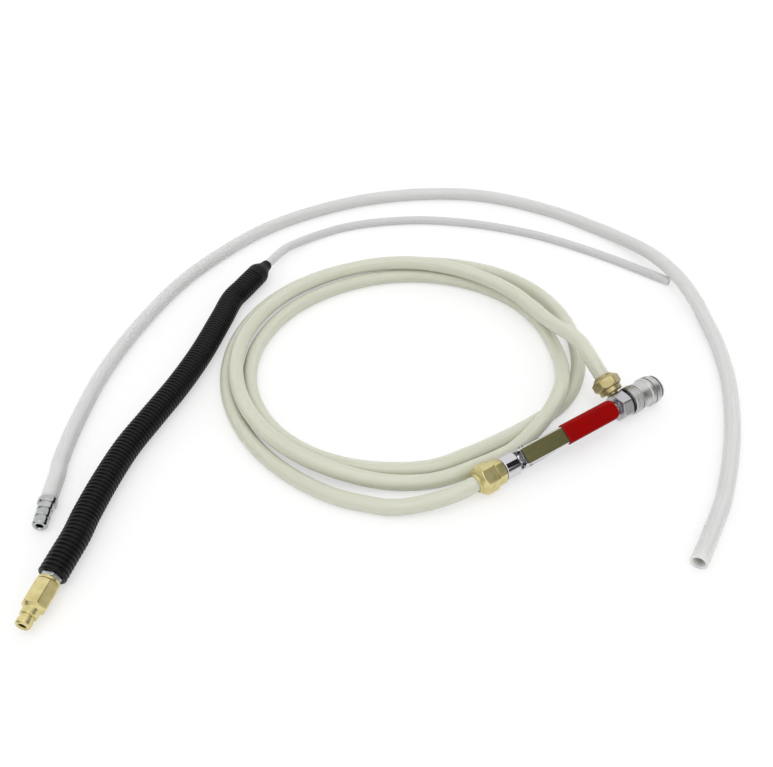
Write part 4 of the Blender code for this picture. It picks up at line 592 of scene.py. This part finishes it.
def bar_end(start, length, flats, chamfer):
    """Outline of a hexagon cut from bar: its two faces are turned down to a cone, as wide as
    0.96 of the flats at the face and 0.995 of the corners a chamfer's length in."""
    face, corner = flats / 2 * 0.96, flats / math.sqrt(3) * 0.995
    end = start + length
    return [(start, face), (start + chamfer, corner), (end - chamfer, corner), (end, face)]


# %% Turned pieces
SOFT = 0.00018                # radius of most turned corners


def turned(node, slot, axis, points, material, shape=None, sides=96, soft=SOFT, fill=True,
           name=None, body="valve_and_hoses"):
    """A turned piece in a node's place: its outline, in millimetres, is softened and carried
    straight along an axis."""
    profile = softened(mm(points), soft)
    if fill:
        profile = filled(profile)
    grid = carried(straight(axis), profile, sides, shape)
    thing = grid_object(name or node + "_turned", *grid, material)
    return stands_for(thing, slot, node, body=body)


# %% [markdown]
# ## Metals
# Brass is turned from free-cutting bar: light yellow, satin, with turning lines. The valve's
# chrome is a mirror, neutral and slightly cool. The coupler is zinc plated, a satin grey, darker
# on its body, and the drain plug is nickel plated. The lever is pressed from zinc-plated sheet
# with an olive passivation; its bent edges are painted bright metal, a painted highlight where
# they catch the light. Turning lines 0.1 mm apart are too fine for these views, so they are
# drawn 0.45 to 0.8 mm apart.

# %% A turned or plated metal
def metal(name, bright, dull, roughness, line_mm, line_depth, on_node=False, spread=0.05):
    """bright and dull are the colours at the two ends of a slow stain, line_mm the spacing of the
    turning lines, line_depth their depth in metres, spread how much the gloss varies."""
    material, tree, shader = new_material(name)
    place = place_in_mm(tree, on_node)
    patch = add(tree, "TexNoise", {"Vector": place, "Scale": 0.16, "Detail": 5.0,
                                   "Roughness": 0.6})
    stain = add(tree, "MapRange", {"Value": patch, "From Min": 0.35, "From Max": 0.7})
    shade = add(tree, "Mix", {0: stain, 6: bright, 7: dull}, data_type="RGBA")
    # A sine wave's band repeats every 0.314 units at scale 1
    lines = add(tree, "TexWave", {"Vector": place, "Scale": 0.314 / line_mm, "Distortion": 1.5,
                                  "Detail": 2.0, "Detail Scale": 0.6}, bands_direction="X")
    scratch = add(tree, "TexNoise", {"Vector": place_in_mm(tree, on_node, (3.0, 0.3, 0.3)),
                                     "Scale": 1.0, "Detail": 4.0})
    marks = add(tree, "Math", {0: lines.outputs["Fac"], 1: scratch}, operation="ADD")
    gloss = {"Value": marks, "From Min": 0.3, "From Max": 1.7,
             "To Min": max(0.03, roughness - spread), "To Max": roughness + spread}
    feed(shader, {
        "Base Color": shade.outputs[2], "Roughness": add(tree, "MapRange", gloss),
        "Normal": add(tree, "Bump", {"Height": marks, "Strength": 0.5, "Distance": line_depth}),
        "Metallic": 1.0})
    return material


# %% Metals of the tool
BRASS = metal("turned_brass", "#E1D59B", "#C8BB82", 0.33, 0.45, 0.00001)
BRASS_NODE = metal("turned_brass_on_frame", "#E1D59B", "#C8BB82", 0.33, 0.45, 0.00001, True)
CHROME = metal("chrome_plate", "#D6D6DB", "#C9C9CF", 0.06, 0.8, 0.000001, spread=0.03)
DULL_BRASS = metal("turned_brass_dull", "#BDB083", "#A4976B", 0.36, 0.45, 0.00001)
CHROME_NODE = metal("chrome_plate_on_frame", "#D6D6DB", "#C9C9CF", 0.1, 0.8, 0.000001, True, 0.03)
NICKEL = metal("nickel_plate", "#BFC0C0", "#A9AAAB", 0.15, 0.8, 0.000003)
ZINC = metal("zinc_plate_satin", "#D3D3D2", "#B6B7B6", 0.36, 0.45, 0.00006)
DARK_ZINC = metal("zinc_plate_dark", "#CBCACD", "#B0AFB3", 0.36, 0.45, 0.00005)
STEEL_NODE = metal("plated_spring_steel", "#C4C4C0", "#A4A4A0", 0.25, 0.6, 0.000005, True)
print(len(bpy.data.materials), "materials so far")


# %% Lever finish
def olive_sheet_with_painted_highlight(name, top, rear):
    """Olive on the plate's flat top; bright metal on its bends, rear edge and ears, a painted
    highlight where they catch the light. top and rear are where the flat top starts, in
    millimetres above the valve's axis and along it."""
    material, tree, shader = new_material(name)
    # A Mapping of the Texture kind takes a place, a turn and a scale away again
    place = add(tree, "TexCoord").outputs["Object"]
    own = add(tree, "Mapping", {"Vector": place, "Location": tuple(VALVE[0]),
                                "Rotation": (ROLL, 0, 0), "Scale": mm((1, 1, 1))},
              vector_type="TEXTURE")
    split = add(tree, "SeparateXYZ", {"Vector": own}).outputs
    high = add(tree, "MapRange", {"Value": split["Z"], "From Min": top - 0.1,
                                  "From Max": top + 0.1})
    ahead = add(tree, "MapRange", {"Value": split["X"], "From Min": rear, "From Max": rear + 0.3})
    share = add(tree, "Math", {0: high, 1: ahead}, operation="MULTIPLY")
    rolled = add(tree, "Mapping", {"Vector": own, "Scale": (0.08, 1.2, 1.2)})
    brush = add(tree, "TexNoise", {"Vector": rolled, "Scale": 1.0, "Detail": 4.0})
    olive = add(tree, "Mix", {0: brush, 6: "#98946A", 7: "#7E7A52"}, data_type="RGBA").outputs[2]
    # Below the flat top and behind its rear edge the sheet is bright metal: a painted highlight on
    # the bends, rear edge and ears
    shade = add(tree, "Mix", {0: share, 6: "#D8D8D6", 7: olive}, data_type="RGBA")
    feed(shader, {
        "Base Color": shade.outputs[2], "Metallic": 1.0,
        "Roughness": add(tree, "MapRange", {"Value": share, "To Min": 0.12, "To Max": 0.4}),
        "Normal": add(tree, "Bump", {"Height": brush, "Strength": 0.3, "Distance": 0.00002})})
    return material


LEVER_STEEL = olive_sheet_with_painted_highlight("olive_passivated_with_painted_highlight", 11.75, 40.1)
print("lever:", len(LEVER_STEEL.node_tree.nodes), "nodes in its finish")

# %% [markdown]
# ## Brass nuts and fittings
# A compression fitting holds each end of the coiled hose: the hose slides over a tail, a soft
# ring grips it, and a nut closes over both. The nut has a round neck, a chamfered hexagon and a
# counterbore. One function makes both. The tee's nut is shorter, its fitting goes on as a round
# collar, and both are duller. The rear fitting has its own smaller hexagon.

# %% Outlines of nuts and fittings
FLATS, REAR_FLATS = 20.0, 17.0
NUT_LENGTH, NUT_SEAT = 15.7, 16.0
TEE_NUT_START, TEE_NUT_END = 3.4, 14.2


def nut_outline(start, neck, end, chamfer):
    """Neck, cone and hexagon outside, the hose's hole and the thread's bore inside."""
    cone = start + neck
    outer = [(start, 6.6), (start + 0.5, 7), (cone, 7), (cone + 0.3, 8), (cone + 3.1, 11.4)]
    outer += bar_end(start, end - start, FLATS, chamfer)[2:]
    seat = max(start + 0.4, 3.9)
    return outline(outer, stepped(start, 6.3, seat, 7.6, end))


def fitting_outline(flats, hexagon, steps):
    """Tail with two barbs inside the hose, spigot inside the nut, hexagon, then round steps. With
    no flats, a round collar in place of the hexagon starts right at the tee's shorter nut."""
    outer = [(2, 3.4), (4.5, 4), (4.6, 3.5), (7.5, 4), (7.6, 3.5), (9.8, 3.5), (9.8, 7.3)]
    station = NUT_SEAT + hexagon
    if flats:
        outer += [(NUT_SEAT - 0.6, 7.3), (NUT_SEAT, 7.8)]
        outer += bar_end(NUT_SEAT + 0.2, hexagon - 0.2, flats, 0.7)
    else:
        outer += [(TEE_NUT_END + 0.4, 7.3), (TEE_NUT_END + 0.5, 9), (station - 0.8, 9.1),
                  (station, 8.3)]
    for length, radius in steps:
        outer += [(station + 0.1, radius), (station + length, radius)]
        station += length
    return outline(outer, stepped(2, 1.9, station))


# %% Both nuts and both fittings
turned("rear_nut", "brass", VALVE, nut_outline(0, 2.1, NUT_LENGTH, 1.1), BRASS,
       six_sided(FLATS, 0))
turned("rear_fitting", "brass", VALVE, fitting_outline(REAR_FLATS, 7.8, [(6, 5)]), BRASS,
       six_sided(REAR_FLATS, 0))
turned("tee_nut", "brass", TEE, nut_outline(TEE_NUT_START, 1, TEE_NUT_END, 1.9), DULL_BRASS,
       six_sided(FLATS, math.pi / 2))
turned("tee_fitting", "brass", TEE, fitting_outline(None, 2.4, [(1.5, 4.8), (4, 4.1)]), DULL_BRASS)

# %% [markdown]
# ## Chrome valve body
# The body is one bar, turned in steps: a wide head, a barrel, and a long taper down to the pipe.
# The barrel's top is milled flat, and the lever's cams rest there. Like the hexagon, the flat is
# the smaller of two radii: the turned one, and the flat's height over the sine of the angle. The
# stem's bore comes down through it. A hole across a piece is no function of this grid, so a plain
# cylinder is cut out.

# %% Cut rods out of a piece
def cut(thing, cutters):
    """Take cutter objects out of a piece for good."""
    for cutter in cutters:
        step = thing.modifiers.new(cutter.name, "BOOLEAN")
        step.object, step.operation, step.solver = cutter, "DIFFERENCE", "EXACT"
    bpy.context.view_layer.update()
    evaluated = thing.evaluated_get(bpy.context.evaluated_depsgraph_get())
    done = bpy.data.meshes.new_from_object(evaluated)
    thing.modifiers.clear()
    thing.data = done
    for cutter in cutters:
        bpy.data.objects.remove(cutter)


def rod(name, axis, start, end, radius, sides=48):
    """A plain solid cylinder along an axis, closed at both ends by a pole, in millimetres."""
    profile = mm([(start, 0), (start, radius), (end, radius), (end, 0)])
    return grid_object(name, *carried(straight(axis), profile, sides), None, closed=False)


# %% Valve body
FLAT_FROM, FLAT_TO, FLAT_HEIGHT = 0.03612, 0.06201, 0.004
PIN_STATION, LEAST_SINE = 0.0430, 0.05


def milled_flat(station, turn, reach):
    """Between the flat's ends, no point is higher than the flat: reach <= height / sin(turn)."""
    limit = FLAT_HEIGHT / np.maximum(np.sin(turn), LEAST_SINE)
    inside = (station >= FLAT_FROM) & (station <= FLAT_TO)
    return np.where(inside, np.minimum(reach, limit), reach)


valve_outer = [(24.1, 8.6), (24.6, 9), (35.6, 9), (36.1, 8.5), (36.1, 8), (58, 8), (80, 6.5),
               (84, 6.3)]
valve_bore = stepped(24.1, 5.3, 31, 2, 52, 4.9, 79.7, 5.3, 84)
valve = turned("valve_body", "chrome", VALVE, outline(valve_outer, valve_bore), CHROME,
               milled_flat, 144)
stem_axis = axis_from(on_axis(VALVE, PIN_STATION), VALVE[3], VALVE[1])
cut(valve, [rod("stem_bore", stem_axis, -3.2, 9, 4.3)])

# %% [markdown]
# ## Outlet pipe
# A chromed tube joins the valve to the coupler. The flange and the smaller ring behind the
# coupler's hexagon, bright and dark bands in the photo, are steps in its outline.

# %% Outlet pipe
pipe_outer = [(80, 5), (131.8, 5), (131.8, 7.1), (133.1, 7.4), (133.5, 7.1), (133.5, 4.8),
              (134.6, 4.8), (134.6, 6.3), (136.1, 6.5), (136.2, 4.8), (141.5, 4.8)]
turned("outlet_pipe", "chrome", VALVE, outline(pipe_outer, stepped(80, 3.3, 141.5)), CHROME,
       soft=0.0001, name="outlet_pipe_tube")

# %% [markdown]
# ## Coupler body
# The quick coupler's body is a hexagon with the side port for the tee, a collar with a groove for
# the black ring, and a barrel. The barrel has six holes for the balls that grip the plug, and a
# groove for the snap ring that keeps the sleeve on. A front ring is pressed on its nose. The
# mouth shows the stepped socket, so the bore has its steps.

# %% Coupler body
COUPLER_STATION, PORT_STATION, BALL_STATION, BALLS = 0.1385, 0.005, 0.036, 6
COUPLER = axis_from(on_axis(VALVE, COUPLER_STATION), VALVE[1], VALVE[2])
body_outer = bar_end(0, 10, FLATS, 0.9)
body_outer += stepped(10.1, 9.3, 10.7, 8.5, 12.3, 9.3, 14.5, 8.4, 41, 7.8, 42, 8.4, 42.5)
body_outer += [(43, 7.9)]
body_bore = stepped(0, 5.3, 3.3, 3.3, 13.5, 5, 27.5, 3.9, 29, 5.6, 30.4, 7.25, 32.6, 5.6, 42)
body_bore += [(43, 6.8)]
coupler = turned("coupler_body", "zinc", COUPLER, outline(body_outer, body_bore), DARK_ZINC,
                 six_sided(FLATS, math.pi / 6))
port_axis = axis_from(on_axis(COUPLER, PORT_STATION), VALVE[2], VALVE[3])
holes = [rod("port", port_axis, 6, 12, 4.4), rod("port_way", port_axis, 1, 7, 2.6)]
for i in range(BALLS):
    turn = 2 * math.pi * (i + 0.5) / BALLS
    spoke = math.cos(turn) * VALVE[3] - math.sin(turn) * VALVE[2]
    hole_axis = axis_from(on_axis(COUPLER, BALL_STATION), spoke, VALVE[1])
    holes.append(rod(f"ball_hole_{i}", hole_axis, 3.6, 10.4, 1.75, 24))
cut(coupler, holes)

# %% Black ring and front ring
# The ring is black rubber in its groove, and its black also stands for the shade in the gap
# between hexagon and sleeve: partly a real ring, partly painted shade
RING_STATION, RING_RADIUS, HALF_RING, RING_SIDES = 11.5, 9.3, 0.6, 96
turn = once_round(24)
station, radius = RING_STATION - HALF_RING * np.cos(turn), RING_RADIUS + HALF_RING * np.sin(turn)
section = mm(pairs(station, radius))
grid = carried(straight(COUPLER), section, RING_SIDES)
black_ring = grid_object("coupler_black_ring", *grid, BLACK_RUBBER)
stands_for(black_ring, "black_rubber", "coupler_ring")
section = softened(mm([(42.1, 9.9), (42.6, 10.2), (43, 9.9), (43, 8.45), (42.1, 8.45)]), SOFT)
grid = carried(straight(COUPLER), section, RING_SIDES)
front_ring = grid_object("coupler_front_ring", *grid, ZINC)
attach(front_ring, "valve_and_hoses")

# %% [markdown]
# ## Coupler sleeve
# The user pulls this sleeve back to free the plug, so its rear has fine ridges for the fingers: a
# wave of the station, four in 6.5 mm. A groove, a waist, a wider band and a cone down to the
# mouth follow. Inside are the spring's room, the land that holds the balls in, and the groove
# that lets them out.

# %% Coupler sleeve
SLEEVE_STATION = 0.1512
SLEEVE = axis_from(on_axis(VALVE, SLEEVE_STATION), VALVE[1], VALVE[2])
RIDGE_FROM, RIDGE_TO, RIDGES = 0.3, 6.8, 4
WAIST_FROM, WAIST_TO = 8.6, 17.2
along = np.linspace(0, 1, 61)
ridges = pairs(RIDGE_FROM + (RIDGE_TO - RIDGE_FROM) * along,
               10.3 + (0.5 - 0.5 * np.cos(2 * math.pi * RIDGES * along)) ** 0.5)
along = np.linspace(0, 1, 25)
waist = pairs(WAIST_FROM + (WAIST_TO - WAIST_FROM) * along, 10.8 - 0.3 * np.sin(math.pi * along))
sleeve_outer = [(0, 10.4), *ridges, (7, 10.8), (7.1, 9.7), (8.5, 9.7), *waist]
sleeve_outer += [(18, 11.62), (20.5, 11.65), (20.6, 10.5), (21.6, 10.5), (21.7, 11.65),
                 (25.3, 11.65), (26.2, 11.35), (28.1, 10.1)]
sleeve_bore = stepped(0, 10, 18.3, 8.7, 24.4, 9.6, 27.1, 8.7, 28.1)
turned("coupler_sleeve", "zinc", SLEEVE, outline(sleeve_outer, sleeve_bore), ZINC, soft=0.00012,
       fill=False, body="sleeve")

# %% [markdown]
# ## Red grip
# The lever's end is dipped in liquid vinyl, a soft glossy coat with no corners left. Its section
# is a superellipse in polar form, whose power n is 4.5 outside, well rounded, and 14 inside,
# close to the sheet's square edges. At the closed end it shrinks like a quarter circle. The rear
# end is open: the surface turns over a rim and goes back inside, round the lever.

# %% Shape of the grip
def rounded_section(rows, middle, power, sides=96):
    """Grid of points from rows of (station, half width w, half height h), in millimetres. At an
    angle a the radius is (|cos a/w|^n + |sin a/h|^n)^(-1/n), about a middle above the axis."""
    station, wide, high = rows.T[..., None]
    turn = once_round(sides)
    reach = (np.abs(np.cos(turn) / wide) ** power
             + np.abs(np.sin(turn) / high) ** power) ** (-1 / power)
    across, up = reach * np.cos(turn), reach * np.sin(turn) + middle
    own = np.stack(np.broadcast_arrays(station, across, up), axis=-1)
    return VALVE[0] + mm(own) @ np.array(VALVE[1:]), own


GRIP_FROM, GRIP_TO, LEVER_TO = 79.5, 131.6, 128.3
GRIP_HALF, LEVER_HALF, TIP_HALF = (8, 3.3), (7.2, 2), (1.8, 1.4)    # half widths and heights
POINT = 1e-3                  # both at a closed end, before its points are merged
rim = np.array([(0, 7.4, 2.7), (0.1, 7.7, 3), (0.4, 7.9, 3.2), (0.8, 7.98, 3.28)])
plain = np.linspace((GRIP_FROM + 1.2, *GRIP_HALF), (GRIP_TO - 6.7, *GRIP_HALF), 60)
lean = np.linspace(0, math.pi / 2, 14)
station = GRIP_TO - 6.5 * (1 - np.sin(lean))
near_end = np.clip((station - GRIP_TO + 2.2) / 2.2, 0, 1)
share = np.stack([np.cos(lean), np.sqrt(1 - near_end**2)], axis=1)
tip = np.column_stack([station, TIP_HALF + np.subtract(GRIP_HALF, TIP_HALF) * share])
outer = np.concatenate([rim + (GRIP_FROM, 0, 0), plain, tip, [(GRIP_TO, POINT, POINT)]])
inner = np.concatenate([[(LEVER_TO, POINT, POINT), (LEVER_TO, *LEVER_HALF)], np.linspace(
    (LEVER_TO - 0.5, *LEVER_HALF), (GRIP_FROM, *LEVER_HALF), 12)])
outside, inside = rounded_section(outer, 9.8, 4.5), rounded_section(inner, 10.2, 14)
grip_points, grip_own = (np.concatenate([a, b]) for a, b in zip(inside, outside))
print("grip:", len(grip_points), "rings of points")


# %% Dipped grip
def dipped_vinyl(name):
    """Glossy red vinyl: a deep red, a little lighter in slow patches, with a soft orange-peel."""
    material, tree, shader = new_material(name)
    place = place_in_mm(tree)
    patch = add(tree, "TexNoise", {"Vector": place, "Scale": 0.1, "Detail": 3.0})
    peel = add(tree, "TexNoise", {"Vector": place, "Scale": 0.7, "Detail": 1.5})
    shade = add(tree, "Mix", {0: patch, 6: "#9C0302", 7: "#860100"}, data_type="RGBA")
    feed(shader, {
        "Base Color": shade.outputs[2], "Specular IOR Level": 0.13,
        "Roughness": add(tree, "MapRange", {"Value": patch, "To Min": 0.16, "To Max": 0.28}),
        "Normal": add(tree, "Bump", {"Height": peel, "Strength": 0.3, "Distance": 0.0001})})
    return material


grip = grid_object("lever_grip_dipped", grip_points, grip_own, dipped_vinyl("dipped_red_vinyl"),
                   closed=False)
stands_for(grip, "red_vinyl", "lever_grip", body="lever")

# %% [markdown]
# ## Drain plug
# The drain hose ends in the plug that the coupler takes: a collar that stops the hose, a neck
# with the groove for the locking balls, and a nose, in nickelled steel. Each barb of its tail
# rises slowly and drops at once, so the hose slides on and not off.

# %% Drain plug
def barbs(start, count, pitch, low, high):
    """Corner pairs of a barbed tail: from low up to high over each pitch, then straight down."""
    return [point for i in range(count)
            for point in ((start + pitch * i, low), (start + pitch * (i + 1) - 0.2, high))]


plug_outer = barbs(-11.1, 3, 3.7, 3.5, 4.2)
plug_outer += [(0.2, 3.6), (0.3, 6.4), (0.8, 6.9), (4.4, 6.9), (5.2, 6.1), (5.2, 5.7), (9.6, 5.7),
               (9.9, 5.4), (9.9, 4.8), (10.9, 4.8), (11.2, 5.5), (16, 5.5), (16.4, 5.2),
               (16.4, 4.8), (17.6, 4.8), (17.9, 5.4), (22.6, 5.4), (23.6, 4.7)]
plug_bore = [(-11.1, 2.4), (22.8, 2.4), (23.6, 2.9)]
drain_plug = turned("drain_plug", "chrome", DRAIN, outline(plug_outer, plug_bore), NICKEL,
                    fill=False)

# %% [markdown]
# ## Probe plug, washer and lock nut
# The corrugated sleeve ends on a lock nut, whose spigot fills the sleeve's mouth. Then come a
# washer and the long brass plug: a hexagon for the fingers, a cone, and the grooved nipple that
# goes into the coupler. It is bored through for the fluid.

# %% Probe plug
PLUG_FLATS, LOCK_FLATS = 15.5, 13.5
probe_outer = [(-21.2, 1.8), (-11.3, 2.3), (-11.2, 4.7), (5.3, 4.7)]
probe_outer += bar_end(5.4, 18.8, PLUG_FLATS, 1.1)
probe_outer += [(25.9, 5.85), (30.2, 5.85), (30.7, 5.4), (30.7, 4.6), (32.9, 4.6), (33.1, 5.25),
                (36.8, 5.25), (37.7, 4.4)]
probe_bore = [(-21.2, 1.2), (-11.2, 1.2), (5.4, 2.55), (37, 2.55), (37.7, 3)]
probe_plug = turned("probe_plug", "brass", PROBE, outline(probe_outer, probe_bore), BRASS,
                    six_sided(PLUG_FLATS, 0))
washer = turned("probe_washer", "brass", PROBE, [(3.3, 7.6), (5.1, 7.6), (5.1, 5), (3.3, 5)],
                BRASS, fill=False)
lock_outer = [(-10, 5.8), (-9, 6.3), (0.2, 6.3)] + bar_end(0.3, 2.7, LOCK_FLATS, 0.5)
lock_nut = turned("probe_lock_nut", "zinc", PROBE, outline(lock_outer, stepped(-10, 5, 3)), ZINC,
                  six_sided(LOCK_FLATS, 0))

# %% [markdown]
# ## Rubber cap
# A moulded rubber cap closes the other end of the corrugated sleeve and grips the thin tube. It
# has a straight band, a dome and a narrow lip. The dome's radius falls along a cosine, so it
# leaves the band and meets the neck without a corner.

# %% Rubber cap
CAP_BAND, CAP_NECK = 9.8, 5.3
dome_at = np.linspace(0, 1, 33)
dome_radius = CAP_NECK + (CAP_BAND - CAP_NECK) * (0.5 + 0.5 * np.cos(math.pi * dome_at)) ** 0.85
cap_outer = [(-8, 6), (-7.4, 6.3), (0.2, 6.3), (0.3, 9.4), (0.8, CAP_BAND), (7, CAP_BAND),
             *pairs(7.8 + 13.2 * dome_at, dome_radius), (22.2, 5.2), (22.4, 4.8), (24.6, 4.8),
             (25.3, 4.5)]
cap = turned("sleeve_cap", "black_rubber", CAP, outline(cap_outer, stepped(-8, 4.3, 25.3)),
             BLACK_RUBBER, fill=False, name="rubber_cap")

# %% [markdown]
# ## Finishes on the frame's own nodes
# The small pieces of the frame already have the right shape: the lever's bent sheet, its pin,
# the stem, the springs, balls and rings. They stay, and get the finishes of their real materials;
# the lever's has a painted highlight on its bends.

# %% Finish the frame's nodes
FINISH_OF = {
    BRASS_NODE: ("rear_ferrule", "tee_ferrule", "poppet"),
    CHROME_NODE: ("gland_nut",),
    BLACK_RUBBER_NODE: ("stem_seal", "socket_seal", "seat_pad"),
    STEEL_NODE: ("valve_spring", "sleeve_spring", "poppet_spring", "snap_ring", "valve_stem",
                 "lever_pin", *(f"lock_ball_{i}" for i in range(1, 7))),
    LEVER_STEEL: ("lever",),
}
for material, names in FINISH_OF.items():
    for name in names:
        for place in NODES[name].material_slots:
            place.material = material
print("nodes with a new finish:", sum(len(names) for names in FINISH_OF.values()))

# %% [markdown]
# ## Springs
# Three springs are pressed: the lever lifts the stem against one, the coupler's sleeve slides
# back against another, and a plug pushes the poppet against the third. In use a spring's pressed
# end goes with the joint and its other end stays on its seat. Each here is a copy of the frame's
# own coil, as it stands.

# %% Springs
def pressed_spring(name, node, joint):
    """A copy of the node's coil, in the node's place. Its furthest point along the joint's
    direction
    is found but not used: distance = position . direction, which is least at the pressed end and
    greatest at the seat."""
    facts = next(j for j in frame["joints"] if j["name"] == joint)
    spring = in_scene(name, NODES[node].data.copy())
    spring.data.name = name
    places = np.empty(3 * len(spring.data.vertices))
    spring.data.vertices.foreach_get("co", places)
    places = places.reshape(-1, 3)
    distance = places @ np.array(facts["axis"])
    stands_for(spring, "steel", node)
    places[distance.argmax()].tolist()
    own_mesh(spring)


pressed_spring("stem_return_spring", "valve_spring", "stem_lift")
pressed_spring("sleeve_return_spring", "sleeve_spring", "sleeve_slide")
pressed_spring("poppet_return_spring", "poppet_spring", "poppet_slide")

# %% [markdown]
# ## What the hoses are
# A hose has a real length. The coiled hose comes out of the tee nut and goes back into the rear
# nut. The drain hose starts in its plug and ends open. The thin tube starts inside the probe plug,
# runs through the corrugated sleeve and the cap, and ends open.


print("cords:", ", ".join(thing.name for thing in (coil, drain, tube, sleeve_cover)))

# %% [markdown]
# ## Floor, light and surroundings
# The photo is a product shot on white, with hardly any shadow. A white floor lit from all round
# by a pale world gives that, and one large lamp overhead lights the hoses softly from above.
# Polished metal needs something dark to reflect or it looks like plaster, so three grey cards
# stand outside the picture, as a photographer would place them. The world looks pure white where
# the camera or a reflection sees it, and lights the pieces at a plain level.

# %% Flat sheets
def flat_sheet(name, corners, material):
    """One four-sided face through four corners."""
    mesh = bpy.data.meshes.new(name)
    mesh.from_pydata(corners, [], [(0, 1, 2, 3)])
    mesh.materials.append(material)
    thing = in_scene(name, mesh)
    return thing


# %% White floor
def seen_directly(tree):
    """1 for a ray from the camera, from a reflection or through clear plastic, otherwise 0."""
    ray = add(tree, "LightPath").outputs
    either = add(tree, "Math", {0: ray["Is Camera Ray"], 1: ray["Is Glossy Ray"]},
                 operation="MAXIMUM")
    return add(tree, "Math", {0: either, 1: ray["Is Transmission Ray"]}, operation="MAXIMUM")


white_floor, tree, shader = new_material("white_paper")
seen = seen_directly(tree)
shade = add(tree, "Mix", {0: seen, 6: "#E6E6E6", 7: "#C0C0C0"}, data_type="RGBA")
feed(shader, {
    "Base Color": shade.outputs[2], "Roughness": 0.9, "Specular IOR Level": 0.0,
    "Emission Color": "#FFFFFF",
    "Emission Strength": add(tree, "MapRange", {"Value": seen, "To Min": 0.0, "To Max": 0.5})})
HALF_FLOOR = 4.0
square = np.array([(-1, -1, 0), (1, -1, 0), (1, 1, 0), (-1, 1, 0)])
flat_sheet("floor", HALF_FLOOR * square, white_floor)
print("floor", 2 * HALF_FLOOR, "m wide")


# %% Grey cards
def card_paper(name, tone):
    """Plain grey paper."""
    material, tree, shader = new_material(name)
    feed(shader, {"Base Color": tone, "Roughness": 0.8})
    return material


def card_corners(azimuths, heights, distance):
    """Four corners between two azimuths and two heights, in degrees, at a distance from the valve:
    distance (cos h cos a, cos h sin a, sin h)."""
    a = np.radians([azimuths[i] for i in (0, 1, 1, 0)])
    h = np.radians([heights[i] for i in (0, 0, 1, 1)])
    return distance * np.stack([np.cos(h) * np.cos(a), np.cos(h) * np.sin(a), np.sin(h)], axis=1)


CARDS = {
    "top_card": ("#181818", card_corners((-60, -18), (20, 64), 1.2)),
    "right_card": ("#5E5A52", card_corners((-80, -5), (3, 23), 1.6)),
    "left_card": ("#3A3833", [(-1.5, -0.5, 0.05), (-1.5, 1.2, 0.05), (-1.5, 1.2, 0.5),
                              (-1.5, -0.5, 0.5)]),
}
for name, (tone, corners) in CARDS.items():
    card = flat_sheet(name, corners, card_paper(name, tone))
    card.visible_camera = card.visible_transmission = False
    card.visible_diffuse = card.visible_shadow = False
print("cards outside the picture:", ", ".join(CARDS))

# %% World and lamp
WORLD_LEVEL, LAMP_WATTS = 0.90, 9.0
world = bpy.data.worlds.new("pale_studio")
world.use_nodes = True
bpy.context.scene.world = world
tree = world.node_tree
feed(tree.nodes["Background"], {
    "Color": "#FFFFFF",
    "Strength": add(tree, "MapRange", {"Value": seen_directly(tree), "To Min": WORLD_LEVEL})})

lamp_data = bpy.data.lights.new("soft_box", "AREA")
lamp_data.shape, lamp_data.size, lamp_data.energy = "DISK", 2.0, LAMP_WATTS
lamp = in_scene("soft_box", lamp_data)
lamp.location = (-0.45, -0.45, 2.5)
towards_set = Vector((-0.05, 0.1, 0)) - lamp.location
lamp.rotation_euler = towards_set.to_track_quat("-Z", "Y").to_euler()
print("world", WORLD_LEVEL, "lamp", LAMP_WATTS, "W")
